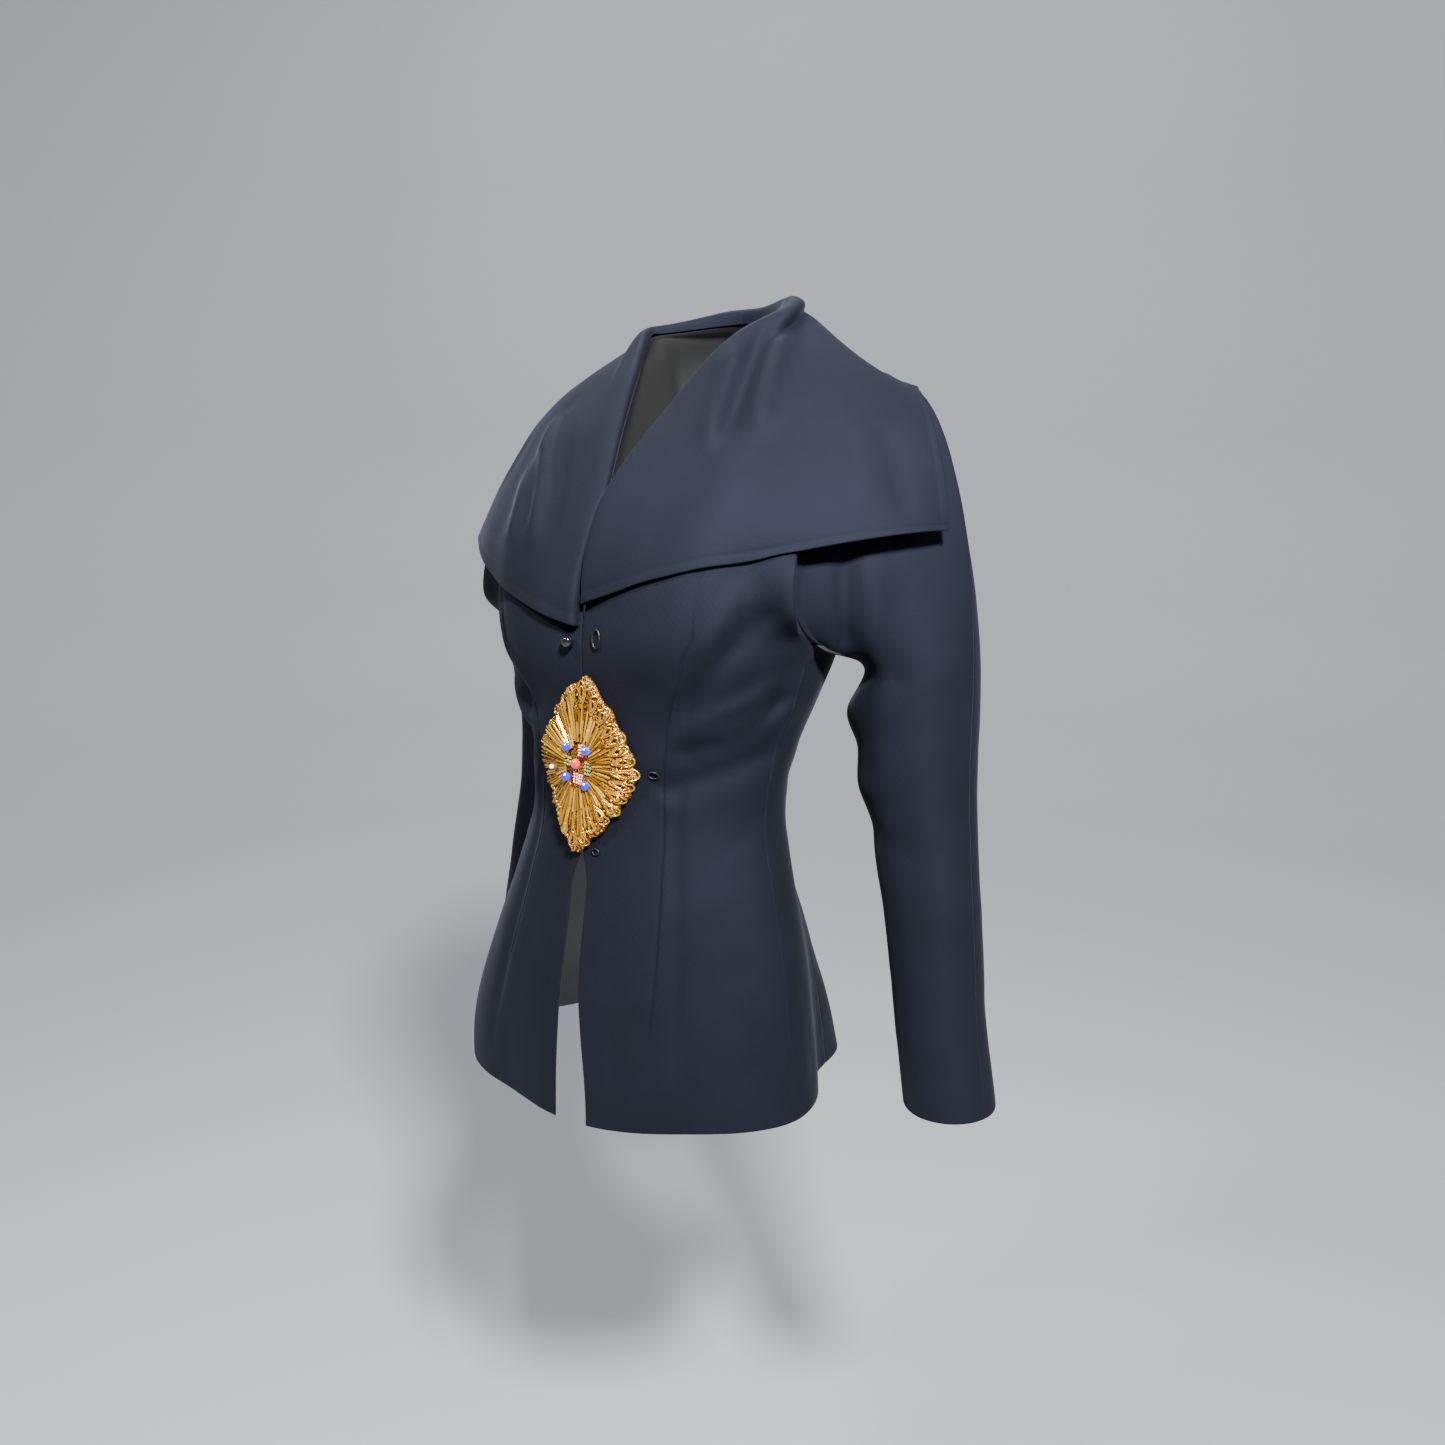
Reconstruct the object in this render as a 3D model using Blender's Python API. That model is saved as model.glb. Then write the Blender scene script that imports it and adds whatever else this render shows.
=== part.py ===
# Evening jacket as it is worn: fitted waist, flared peplum, two-piece sleeves,
# a wide collar lying over the shoulders and a beaded ornament at the closing.
# Metres, +Z up. The wearer faces -Y and the wearer's left is +X.
# The origin is the centre of the neck base, level with the neck points of the shoulder seams.

import math

import bmesh
import bpy
from mathutils import Matrix, Vector
from mathutils.bvhtree import BVHTree

for old in list(bpy.data.objects):
    bpy.data.objects.remove(old, do_unlink=True)

# Cloth and seams
WALL = 0.0020
COLLAR_WALL = 0.0024
SEAM_GAP = 0.0003
HALF_GAP = SEAM_GAP / 2

# Heights on the body, below the neck base
HEM_Z = -0.665
WAIST_Z = -0.405
PANEL_JOIN_Z = -0.315
UNDERARM_Z = -0.252
BUST_Z = -0.238
SLIT_TOP_Z = -0.425

# Foot of the V on each front; the right front rolls open a little lower
V_FOOT_Z = {1: -0.219, -1: -0.236}

# The wearer stands with the left shoulder and hip a little higher
SHOULDER_TILT = 0.030

# Level sections of the body: height, half width at the left and at the right, depth in front
# of the centre, depth behind it, and where the centre lies. The hips stand a little to the right.
BODY_SECTIONS = (
    (-0.700, 0.163, 0.203, 0.122, 0.146, -0.083),
    (-0.620, 0.158, 0.199, 0.118, 0.136, -0.083),
    (-0.540, 0.149, 0.172, 0.110, 0.115, -0.082),
    (-0.470, 0.136, 0.143, 0.099, 0.096, -0.080),
    (-0.405, 0.1245, 0.1235, 0.0920, 0.085, -0.077),
    (-0.350, 0.1320, 0.1300, 0.0940, 0.092, -0.073),
    (-0.300, 0.1490, 0.1460, 0.0990, 0.105, -0.066),
    (-0.252, 0.1620, 0.1600, 0.1030, 0.116, -0.058),
    (-0.200, 0.1640, 0.1630, 0.1010, 0.120, -0.050),
    (-0.150, 0.1620, 0.1620, 0.0940, 0.121, -0.044),
)

# Grid lines of the panels. Panels that meet at the armhole share their points along it.
FRONT_COLUMNS = 12
FRONT_ROWS = 28
FRONT_ARMHOLE_ROWS = 10
SIDE_COLUMNS = 5
SIDE_ROWS = 24
BACK_COLUMNS = 10
BACK_ROWS = 26
BACK_ARMHOLE_ROWS = 11
SLEEVE_ROWS = 20
COLLAR_COLUMNS = 20
COLLAR_ROWS = 16

# Seams round the body, in degrees from the centre front
SIDE_SEAM = 82.0
BACK_SEAM = 130.0

# Bust fullness, as a soft dome on each front
BUST_X = 0.090
BUST_RISE = 0.028
BUST_WIDTH = 0.052
BUST_HEIGHT = 0.060
BUST_DIP = 0.45

# Shoulder: neck point, shoulder point and centre back neck of the left half
NECK_POINT = Vector((0.066, 0.004, 0.002))
SHOULDER_POINT = Vector((0.178, 0.030, -0.050))
NECK_BACK = Vector((0.0, 0.056, 0.010))


def hermite(start, end, leave, arrive, t):
    """A point on the smooth curve between two ends with the given end directions."""
    t2 = t * t
    t3 = t2 * t
    return (start * (2 * t3 - 3 * t2 + 1) + leave * (t3 - 2 * t2 + t)
            + end * (3 * t2 - 2 * t3) + arrive * (t3 - t2))


def mix(a, b, t):
    return a + (b - a) * t


def ease(t):
    """0 below 0, 1 above 1, smooth between."""
    t = min(1.0, max(0.0, t))
    return t * t * (3 - 2 * t)


def read_table(rows, key):
    """The row of a table at any height, smooth between its rows."""
    ordered = sorted(rows)
    key = min(max(key, ordered[0][0]), ordered[-1][0])
    i = 0
    while i < len(ordered) - 2 and key > ordered[i + 1][0]:
        i += 1
    lower, upper = ordered[i], ordered[i + 1]
    before = ordered[max(i - 1, 0)]
    after = ordered[min(i + 2, len(ordered) - 1)]
    span = upper[0] - lower[0]
    t = (key - lower[0]) / span
    out = []
    for c in range(1, len(lower)):
        leave = (upper[c] - before[c]) / (upper[0] - before[0]) * span
        arrive = (after[c] - lower[c]) / (after[0] - lower[0]) * span
        out.append(hermite(lower[c], upper[c], leave, arrive, t))
    return out


# Soft folds on the body: side (+1 left, -1 right), the two ends of the fold as degrees round
# from the centre front and height, how far the cloth stands out (+) or sinks (-), half width
BODY_FOLDS = (
    (1, 24, -0.372, 84, -0.340, -0.0045, 0.0120),
    (1, 26, -0.345, 80, -0.308, 0.0040, 0.0120),
    (1, 32, -0.318, 82, -0.268, -0.0050, 0.0130),
    (1, 27, -0.362, 38, -0.358, 0.0018, 0.0055),
    (1, 26, -0.374, 37, -0.386, 0.0016, 0.0055),
    (-1, 22, -0.368, 84, -0.336, -0.0040, 0.0120),
    (-1, 26, -0.340, 80, -0.305, 0.0035, 0.0120),
    (-1, 30, -0.312, 82, -0.268, -0.0045, 0.0130),
    (1, 38, -0.215, 37, -0.600, -0.0024, 0.0060),
    (-1, 38, -0.215, 37, -0.600, -0.0024, 0.0060),
    (1, 112, -0.335, 168, -0.352, -0.0030, 0.0110),
    (-1, 116, -0.340, 170, -0.356, -0.0030, 0.0110),
    (1, 108, -0.372, 160, -0.380, -0.0025, 0.0090),
    (-1, 110, -0.366, 162, -0.376, -0.0025, 0.0090),
)
METRES_PER_DEGREE = 0.0023


# Flutes of the peplum: they start at the waist and grow down to the hem.
# Side, angle at the hem, rise at the hem, half width in degrees
PEPLUM_FLUTES = (
    (1, 43, -0.0100, 24),
    (1, 84, 0.0030, 14),
    (1, 122, -0.0110, 14),
    (1, 146, 0.0310, 17),
    (1, 172, -0.0060, 13),
    (-1, 26, -0.0050, 12),
    (-1, 60, 0.0030, 18),
    (-1, 96, -0.0080, 18),
    (-1, 122, -0.0090, 13),
    (-1, 147, 0.0270, 17),
    (-1, 171, -0.0060, 12),
)
FLUTE_GROWTH = 1.15


def flute_height(side, angle, z):
    drop = (WAIST_Z - z) / (WAIST_Z - HEM_Z)
    if drop <= 0:
        return 0.0
    total = sum(rise * math.exp(-((angle - degrees) / half_width) ** 2)
                for flute_side, degrees, rise, half_width in PEPLUM_FLUTES if flute_side == side)
    return total * drop ** FLUTE_GROWTH


def fold_height(side, angle, z):
    """How far the folds move the cloth out at one place."""
    total = 0.0
    for fold_side, deg0, z0, deg1, z1, rise, half_width in BODY_FOLDS:
        if fold_side != side:
            continue
        across = (deg1 - deg0) * METRES_PER_DEGREE
        along = z1 - z0
        length = math.hypot(across, along)
        dx = (angle - deg0) * METRES_PER_DEGREE
        dz = z - z0
        place = (dx * across + dz * along) / length
        aside = (dx * along - dz * across) / length
        end_fade = ease(0.5 + place / (0.35 * length)) * ease(0.5 + (length - place) / (0.35 * length))
        total += rise * math.exp(-(aside / half_width) ** 2) * end_fade
    return total


def body_point(side, angle, z):
    """A point on the outside of the body cloth, for the left half; the right half is mirrored."""
    left_half, right_half, front, back, centre_y = read_table(BODY_SECTIONS, z)
    half_width = left_half if side > 0 else right_half
    turn = math.radians(angle)
    across, ahead = math.sin(turn), math.cos(turn)
    x = half_width * across
    y = centre_y - (front if ahead > 0 else back) * ahead
    if ahead > 0:
        beyond = max(0.0, x - BUST_X) / BUST_WIDTH
        between = max(0.0, BUST_X - x) / BUST_X
        dome = math.exp(-beyond ** 2 - ((z - BUST_Z) / BUST_HEIGHT) ** 2) * (1 - BUST_DIP * between ** 2)
        y -= BUST_RISE * dome
    out = fold_height(side, angle, z) + flute_height(side, angle, z)
    return Vector((x + out * across, y - out * ahead, z))


def up_the_body(side, angle, z):
    """How the cloth runs for each metre upwards at one place."""
    step = 0.004
    return (body_point(side, angle, z) - body_point(side, angle, z - step)) / step


def closing_drift(z):
    """The closing line swings a little to the right at the waist and back again to the hem."""
    return -0.0085 * ease((-0.250 - z) / 0.120) * (1 - 0.75 * ease((-0.520 - z) / 0.140))


def front_edge(side, z):
    """How far out from the middle plane a front's free edge lies."""
    just_open = 0.0085 * ease((SLIT_TOP_Z - z) / 0.030)
    swing = 0.0085 * ease((-0.500 - z) / 0.165)
    return HALF_GAP + just_open + swing + closing_drift(z) * side


def front_edge_angle(side, z):
    half_width = read_table(BODY_SECTIONS, z)[0 if side > 0 else 1]
    return math.degrees(math.asin(front_edge(side, z) / half_width))


# Armhole: how its front and back halves leave the underarm and reach the shoulder
ARMHOLE_FRONT_LEAVE = Vector((-0.045, -0.215, 0.130))
ARMHOLE_FRONT_ARRIVE = Vector((0.080, 0.205, 0.095))
ARMHOLE_BACK_LEAVE = Vector((-0.010, 0.200, 0.060))
ARMHOLE_BACK_ARRIVE = Vector((0.050, -0.150, 0.105))
BACK_SEAM_ON_ARMHOLE = SIDE_COLUMNS / BACK_ARMHOLE_ROWS


def armhole_front(side, t):
    underarm = body_point(side, SIDE_SEAM, UNDERARM_Z)
    return hermite(underarm, SHOULDER_POINT, ARMHOLE_FRONT_LEAVE, ARMHOLE_FRONT_ARRIVE, t)


def armhole_back(side, t):
    underarm = body_point(side, SIDE_SEAM, UNDERARM_Z)
    return hermite(underarm, SHOULDER_POINT, ARMHOLE_BACK_LEAVE, ARMHOLE_BACK_ARRIVE, t)


def shoulder_seam(t):
    """Along the shoulder seam from the neck point to the shoulder point, a little hollow."""
    p = mix(NECK_POINT, SHOULDER_POINT, t)
    return p - Vector((0, 0, 0.004 * math.sin(math.pi * t)))


V_LEAVE = {1: Vector((-0.020, -0.010, 0.230)), -1: Vector((-0.045, 0.010, 0.240))}
V_ARRIVE = {1: Vector((0.100, 0.290, 0.190)), -1: Vector((0.105, 0.260, 0.200))}
SHOULDER_ARRIVE = Vector((0.010, 0.250, 0.045))
FRONT_SPLIT = 1 - FRONT_ARMHOLE_ROWS / FRONT_ROWS


def front_join(side, u):
    """The height at which the front turns from the body's rings to the chest."""
    return mix(V_FOOT_Z[side], UNDERARM_Z, ease(u * 1.6))


def front_column(side, u, t):
    """From the bust line up to the shoulder seam; u is 0 at the V and 1 at the armhole."""
    join = front_join(side, u)
    angle = mix(front_edge_angle(side, join), SIDE_SEAM, u)
    start = body_point(side, angle, join)
    end = shoulder_seam(u)
    length = (end - start).length
    leave = up_the_body(side, angle, join) * length
    leave = mix(leave, V_LEAVE[side], (1 - u) ** 4)
    leave = mix(leave, ARMHOLE_FRONT_LEAVE, u ** 3)
    arrive = mix(SHOULDER_ARRIVE, V_ARRIVE[side], (1 - u) ** 3)
    arrive = mix(arrive, ARMHOLE_FRONT_ARRIVE, u ** 3)
    p = hermite(start, end, leave, arrive, t)
    p.x = max(p.x, start.x * (1 - u) ** 2)
    return p


def front_point(side, u, v):
    """The front panel: u from the front edge to the side seam, v from hem to shoulder."""
    if v > FRONT_SPLIT:
        return front_column(side, u, (v - FRONT_SPLIT) / (1 - FRONT_SPLIT))
    z = mix(HEM_Z, front_join(side, u), v / FRONT_SPLIT)
    return body_point(side, mix(front_edge_angle(side, z), SIDE_SEAM, u), z)


SIDE_SPLIT = 0.72
SIDE_ARRIVE = Vector((0.020, -0.030, 0.150))


def side_column(side, u, t):
    angle = mix(SIDE_SEAM, BACK_SEAM, u)
    start = body_point(side, angle, PANEL_JOIN_Z)
    end = armhole_back(side, BACK_SEAM_ON_ARMHOLE * u)
    length = (end - start).length
    leave = up_the_body(side, angle, PANEL_JOIN_Z) * length
    seam_arrive = up_the_body(side, SIDE_SEAM, UNDERARM_Z) * length
    arrive = mix(seam_arrive, SIDE_ARRIVE, u)
    return hermite(start, end, leave, arrive, t)


def side_point(side, u, v):
    """The side panel: u from the side seam to the back seam, v from hem to armhole."""
    if v > SIDE_SPLIT:
        t = (v - SIDE_SPLIT) / (1 - SIDE_SPLIT)
        seam = body_point(side, SIDE_SEAM, mix(PANEL_JOIN_Z, UNDERARM_Z, t))
        return side_column(side, u, t) + (seam - side_column(side, 0, t)) * (1 - u) ** 2
    angle = mix(SIDE_SEAM, BACK_SEAM, u)
    return body_point(side, angle, mix(HEM_Z, PANEL_JOIN_Z, v / SIDE_SPLIT))


BACK_SPLIT = 1 - BACK_ARMHOLE_ROWS / BACK_ROWS
NECK_SHARE = 0.40
BACK_ARRIVE = Vector((0.0, -0.190, 0.010))


def back_top(u):
    """Along the back neck and the shoulder seam; u is 0 at the centre back."""
    if u < NECK_SHARE:
        t = u / NECK_SHARE
        return hermite(NECK_BACK, NECK_POINT, Vector((0.075, 0, 0)), Vector((0.030, -0.075, -0.010)), t)
    return shoulder_seam((u - NECK_SHARE) / (1 - NECK_SHARE))


def back_column(side, u, t):
    angle = mix(180.0, BACK_SEAM, u)
    start = body_point(side, angle, PANEL_JOIN_Z)
    end = back_top(u)
    length = (end - start).length
    leave = up_the_body(side, angle, PANEL_JOIN_Z) * length
    return hermite(start, end, leave, BACK_ARRIVE, t)


def back_outer_edge(side, t):
    """The back seam up to the armhole, then the armhole up to the shoulder."""
    if t < BACK_SEAM_ON_ARMHOLE:
        return side_column(side, 1, t / BACK_SEAM_ON_ARMHOLE)
    return armhole_back(side, t)


def back_point(side, u, v):
    """The back panel: u from the centre back to the back seam, v from hem to neck and shoulder."""
    if v > BACK_SPLIT:
        t = (v - BACK_SPLIT) / (1 - BACK_SPLIT)
        edge = back_outer_edge(side, t) - back_column(side, 1, t)
        return back_column(side, u, t) + edge * u ** 3
    angle = mix(180.0, BACK_SEAM, u)
    return body_point(side, angle, mix(HEM_Z, PANEL_JOIN_Z, v / BACK_SPLIT))


# Sleeves: level sections down each arm, from the end of the sleeve head to the cuff: height,
# where the centre lies, half width across and half depth.
# The right arm is held a little further back and closer in.
SLEEVE_SECTIONS = {
    1: ((-0.290, 0.2110, 0.016, 0.0475, 0.0560),
        (-0.325, 0.2060, 0.015, 0.0535, 0.0580),
        (-0.358, 0.2090, 0.013, 0.0515, 0.0550),
        (-0.400, 0.2170, 0.010, 0.0465, 0.0490),
        (-0.450, 0.2270, 0.007, 0.0430, 0.0450),
        (-0.520, 0.2380, 0.003, 0.0410, 0.0420),
        (-0.585, 0.2470, 0.000, 0.0395, 0.0400),
        (-0.662, 0.2600, -0.002, 0.0400, 0.0395)),
    -1: ((-0.290, 0.2060, 0.028, 0.0460, 0.0560),
         (-0.325, 0.2000, 0.030, 0.0515, 0.0575),
         (-0.358, 0.1960, 0.031, 0.0510, 0.0545),
         (-0.400, 0.2030, 0.030, 0.0465, 0.0490),
         (-0.450, 0.2120, 0.027, 0.0430, 0.0450),
         (-0.520, 0.2220, 0.018, 0.0410, 0.0420),
         (-0.585, 0.2290, 0.008, 0.0395, 0.0400),
         (-0.665, 0.2350, -0.006, 0.0400, 0.0395)),
}
HEAD_SHARE = 0.34
# The seam down the outside of the arm turns from behind to in front of the side, in degrees
OUTER_SEAM_TOP = 8.0
OUTER_SEAM_CUFF = -14.0
INNER_SEAM_TURN = 40.0

# Folds across the sleeve: centre height, centre angle (0 outside, -90 front, 180 inside),
# rise, half height, half angle, and how far the fold climbs for each degree round
SLEEVE_FOLDS = (
    (-0.315, -150, 0.0050, 0.016, 60, 0.00030),
    (-0.350, -150, -0.0040, 0.014, 55, 0.00025),
    (-0.385, -160, 0.0030, 0.013, 60, 0.00020),
    (-0.420, -120, -0.0022, 0.014, 50, -0.00020),
    (-0.400, 150, -0.0035, 0.014, 60, -0.00030),
    (-0.440, 140, 0.0025, 0.016, 60, -0.00025),
)


def sleeve_fold_height(angle, z):
    total = 0.0
    for fold_z, fold_angle, rise, half_height, half_angle, climb in SLEEVE_FOLDS:
        turn = (angle - fold_angle + 180) % 360 - 180
        dz = z - fold_z - climb * turn
        total += rise * math.exp(-(dz / half_height) ** 2 - (turn / half_angle) ** 2)
    return total


def sleeve_ring(side, angle, z):
    centre_x, centre_y, half_across, half_deep = read_table(SLEEVE_SECTIONS[side], z)
    out = sleeve_fold_height(angle, z)
    turn = math.radians(angle)
    return Vector((centre_x + (half_across + out) * math.cos(turn),
                   centre_y + (half_deep + out) * math.sin(turn), z))


def sleeve_seam_angle(half, v):
    """Where the inner seam runs: under the arm it starts nearer the front."""
    return 180.0 * half + INNER_SEAM_TURN * (1 - ease(v))


def sleeve_point(side, half, u, v):
    """A sleeve piece: half -1 is the front one, +1 the back one; u runs from the outer seam
    to the inner seam, v from the armhole to the cuff."""
    head_z, cuff_z = SLEEVE_SECTIONS[side][0][0], SLEEVE_SECTIONS[side][-1][0]
    z = mix(head_z, cuff_z, max(0.0, (v - HEAD_SHARE) / (1 - HEAD_SHARE)))
    outer = mix(OUTER_SEAM_TOP, OUTER_SEAM_CUFF, v)
    angle = mix(outer, sleeve_seam_angle(half, v), u)
    if v >= HEAD_SHARE:
        return sleeve_ring(side, angle, z)
    arm = armhole_front if half < 0 else armhole_back
    start = arm(side, 1 - u) + Vector((SEAM_GAP + 0.0001, 0, 0))
    end = sleeve_ring(side, angle, z)
    top = (1 - u) ** 2
    leave = Vector((0.030 + 0.110 * top, 0.015 * half * math.sin(math.pi * u), -0.050 + 0.045 * top))
    below = (sleeve_ring(side, angle, z - 0.004) - end) / 0.004
    arrive = below * (0.070 + 0.190 * top)
    return hermite(start, end, leave, arrive, v / HEAD_SHARE)


def around_sleeve(side, half, u, v):
    """As sleeve_point, and past either seam it goes on over the other half."""
    if u < 0:
        return sleeve_point(side, -half, -u, v)
    if u > 1:
        return sleeve_point(side, -half, 2 - u, v)
    return sleeve_point(side, half, u, v)


# Collar: it is sewn on at the neckline, rolls over and lies on the shoulder.
# The left side stands a little higher at the neck than the right.
ROLL_SHARE = 0.16
NECK_PLACE = 0.60
ROLL_FRONT = 0.0075
ROLL_NECK = {1: 0.0260, -1: 0.0070}
ROLL_BACK = 0.0120
COLLAR_FROM_MIDDLE = {1: 0.0045, -1: 0.0035}
FOOT_LIFT = 0.0026
COLLAR_CORNER = Vector((0.243, -0.010, -0.166))
COLLAR_RIDGE = Vector((0.188, 0.030, -0.043))
COLLAR_BACK = Vector((0.0, 0.100, -0.118))

# How each line across the collar leaves the roll and reaches the free edge:
# its place along the collar, and the two directions
COLLAR_SWEEP = {
    1: ((0.00, Vector((0.170, -0.030, 0.060)), Vector((0.080, 0.250, -0.010))),
        (0.30, Vector((0.150, -0.010, 0.005)), Vector((0.110, 0.150, -0.070))),
        (0.60, Vector((0.120, 0.020, -0.015)), Vector((0.110, 0.020, -0.070))),
        (0.80, Vector((0.070, 0.070, 0.010)), Vector((0.050, 0.020, -0.130))),
        (1.00, Vector((0.000, 0.055, 0.000)), Vector((0.000, 0.004, -0.150)))),
    -1: ((0.00, Vector((0.190, -0.070, 0.040)), Vector((0.060, 0.290, 0.000))),
         (0.30, Vector((0.150, -0.020, 0.010)), Vector((0.110, 0.170, -0.070))),
         (0.60, Vector((0.120, 0.020, -0.005)), Vector((0.110, 0.020, -0.080))),
         (0.80, Vector((0.070, 0.070, 0.000)), Vector((0.050, 0.020, -0.130))),
         (1.00, Vector((0.000, 0.055, 0.000)), Vector((0.000, 0.004, -0.150)))),
}


def collar_sweep(side, u):
    rows = COLLAR_SWEEP[side]
    i = 0
    while i < len(rows) - 2 and u > rows[i + 1][0]:
        i += 1
    t = ease((u - rows[i][0]) / (rows[i + 1][0] - rows[i][0]))
    return rows[i][1].lerp(rows[i + 1][1], t), rows[i][2].lerp(rows[i + 1][2], t)


def neckline(side, u):
    """On the body's neck edge: u is 0 at the foot of the V, 1 at the centre back."""
    if u < NECK_PLACE:
        return front_column(side, 0, u / NECK_PLACE)
    return back_top(NECK_SHARE * (1 - (u - NECK_PLACE) / (1 - NECK_PLACE)))


def neck_frame(side, u):
    """The way out over the cloth and the way up from it, at one place of the neckline."""
    step = 0.02
    run = (neckline(side, min(1.0, u + step)) - neckline(side, max(0.0, u - step))).normalized()
    place = min(1.0, u / NECK_PLACE)
    over_front = (front_column(side, 0.06, place) - front_column(side, 0, place)).normalized()
    share = NECK_SHARE * min(1.0, (1 - u) / (1 - NECK_PLACE))
    over_back = (back_column(side, share, 0.94) - back_top(share)).normalized()
    away = over_front.lerp(over_back, ease((u - 0.48) / 0.27))
    out = (away - run * away.dot(run)).normalized()
    return out, run.cross(out).normalized() * -1


def collar_outer_edge(u):
    """The free edge from the corner on the outer arm, over the shoulder ridge, to the centre back."""
    if u < NECK_PLACE:
        return hermite(COLLAR_CORNER, COLLAR_RIDGE, Vector((-0.006, 0.008, 0.100)),
                       Vector((-0.070, 0.050, 0.060)), u / NECK_PLACE)
    return hermite(COLLAR_RIDGE, COLLAR_BACK, Vector((-0.070, 0.085, -0.110)),
                   Vector((-0.180, 0.000, -0.005)), (u - NECK_PLACE) / (1 - NECK_PLACE))


def collar_point(side, u, v):
    """The collar: u from its front end to the centre back, v from the neck seam to the free edge."""
    out, up = neck_frame(side, u)
    seam = neckline(side, u)
    stand = mix(ROLL_FRONT, ROLL_NECK[side], ease((u - 0.35) / 0.25))
    stand = mix(stand, ROLL_BACK, ease((u - 0.65) / 0.30))
    start = seam + up * (SEAM_GAP + 0.0002 + FOOT_LIFT * (1 - ease(u / 0.25)))
    top = seam + out * 0.0015 + up * stand
    if v < ROLL_SHARE:
        p = hermite(start, top, up * stand * 1.9 - out * 0.008, out * 0.014, v / ROLL_SHARE)
    else:
        leave, arrive = collar_sweep(side, u)
        p = hermite(top, collar_outer_edge(u), leave, arrive, (v - ROLL_SHARE) / (1 - ROLL_SHARE))
    if u < NECK_PLACE:
        p.x = max(p.x, COLLAR_FROM_MIDDLE[side])
    return p


def tilt(p, side):
    """Mirror to its side and lean with the shoulders."""
    x = p.x * side
    return Vector((x, p.y, p.z + SHOULDER_TILT * x))


def new_object(name, bm, colour, roughness, metallic=0.0, smooth=40):
    if bm.calc_volume(signed=True) < 0:
        bmesh.ops.reverse_faces(bm, faces=bm.faces[:])
    mesh = bpy.data.meshes.new(name)
    bm.to_mesh(mesh)
    bm.free()
    mesh.shade_smooth()
    mesh.set_sharp_from_angle(angle=math.radians(smooth))
    material = bpy.data.materials.new(name)
    material.use_nodes = True
    shader = material.node_tree.nodes["Principled BSDF"]
    shader.inputs["Base Color"].default_value = (*colour, 1)
    shader.inputs["Roughness"].default_value = roughness
    shader.inputs["Metallic"].default_value = metallic
    mesh.materials.append(material)
    obj = bpy.data.objects.new(name, mesh)
    bpy.context.scene.collection.objects.link(obj)
    return obj


CREPE = (0.012, 0.013, 0.018)


def cloth_below(side):
    """The outer faces of one side's body and sleeve, for the collar to lie on."""
    corners, faces = [], []
    shells = ((lambda u, v: front_point(side, u, v), FRONT_COLUMNS, FRONT_ROWS),
              (lambda u, v: side_point(side, u, v), SIDE_COLUMNS, SIDE_ROWS),
              (lambda u, v: back_point(side, u, v), BACK_COLUMNS, BACK_ROWS),
              (lambda u, v: sleeve_point(side, -1, u, v), FRONT_ARMHOLE_ROWS, SLEEVE_ROWS),
              (lambda u, v: sleeve_point(side, 1, u, v), BACK_ARMHOLE_ROWS, SLEEVE_ROWS))
    for point, columns, rows in shells:
        first = len(corners)
        corners += [point(i / columns, j / rows) for j in range(rows + 1) for i in range(columns + 1)]
        for j in range(rows):
            for i in range(columns):
                a = first + j * (columns + 1) + i
                faces.append((a, a + 1, a + columns + 2, a + columns + 1))
    return BVHTree.FromPolygons(corners, faces)


COLLAR_CLEAR = 0.0030
LIFT_ROUNDS = 5
LIFT_FROM_ROW = 3


def lifted(p, below, inside):
    """The point moved out until its cloth clears what lies under it."""
    near, normal, index, distance = below.find_nearest(p)
    if normal.dot(near - inside) < 0:
        normal = -normal
    short = COLLAR_CLEAR - (p - near).dot(normal)
    return p + normal * short if short > 0 else p


def laid_on(grid, side, columns, rows):
    """Lift the collar's fall clear of the cloth below it, then even it out."""
    below = cloth_below(side)
    inside = Vector((0.09, -0.03, -0.25))
    for lift_round in range(LIFT_ROUNDS + 1):
        for i in range(columns + 1):
            for j in range(LIFT_FROM_ROW, rows + 1):
                for again in range(3):
                    grid[i][j] = lifted(grid[i][j], below, inside)
        if lift_round == LIFT_ROUNDS:
            break
        held = [list(line) for line in grid]
        for i in range(1, columns):
            for j in range(LIFT_FROM_ROW + 1, rows):
                around = held[i - 1][j] + held[i + 1][j] + held[i][j - 1] + held[i][j + 1]
                grid[i][j] = held[i][j].lerp(around / 4, 0.4)
    return grid


# At a seam the inner face stops a little short, as pressed seam allowances do
EDGE_STEP = 0.01
SLEEVE_EDGE_STEP = 0.08
NEAR_MIDDLE = 0.010
# Under the arm the sleeve turns sharply, so its wall is thinner there
UNDERARM_ROWS = 5
UNDERARM_THIN = 0.6
ARMHOLE_CENTRE = Vector((0.165, -0.015, -0.150))


def on_armhole(name, i, j, columns, rows):
    """Whether a place of a piece lies on the armhole seam, where both walls turn to its middle."""
    if name.startswith("sleeve"):
        return j == 0
    if name.startswith("side"):
        return j == rows
    if name.startswith("front"):
        return i == columns and j >= rows - FRONT_ARMHOLE_ROWS
    if name.startswith("back"):
        return i == columns and j >= rows - BACK_ARMHOLE_ROWS + SIDE_COLUMNS
    return False


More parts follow.
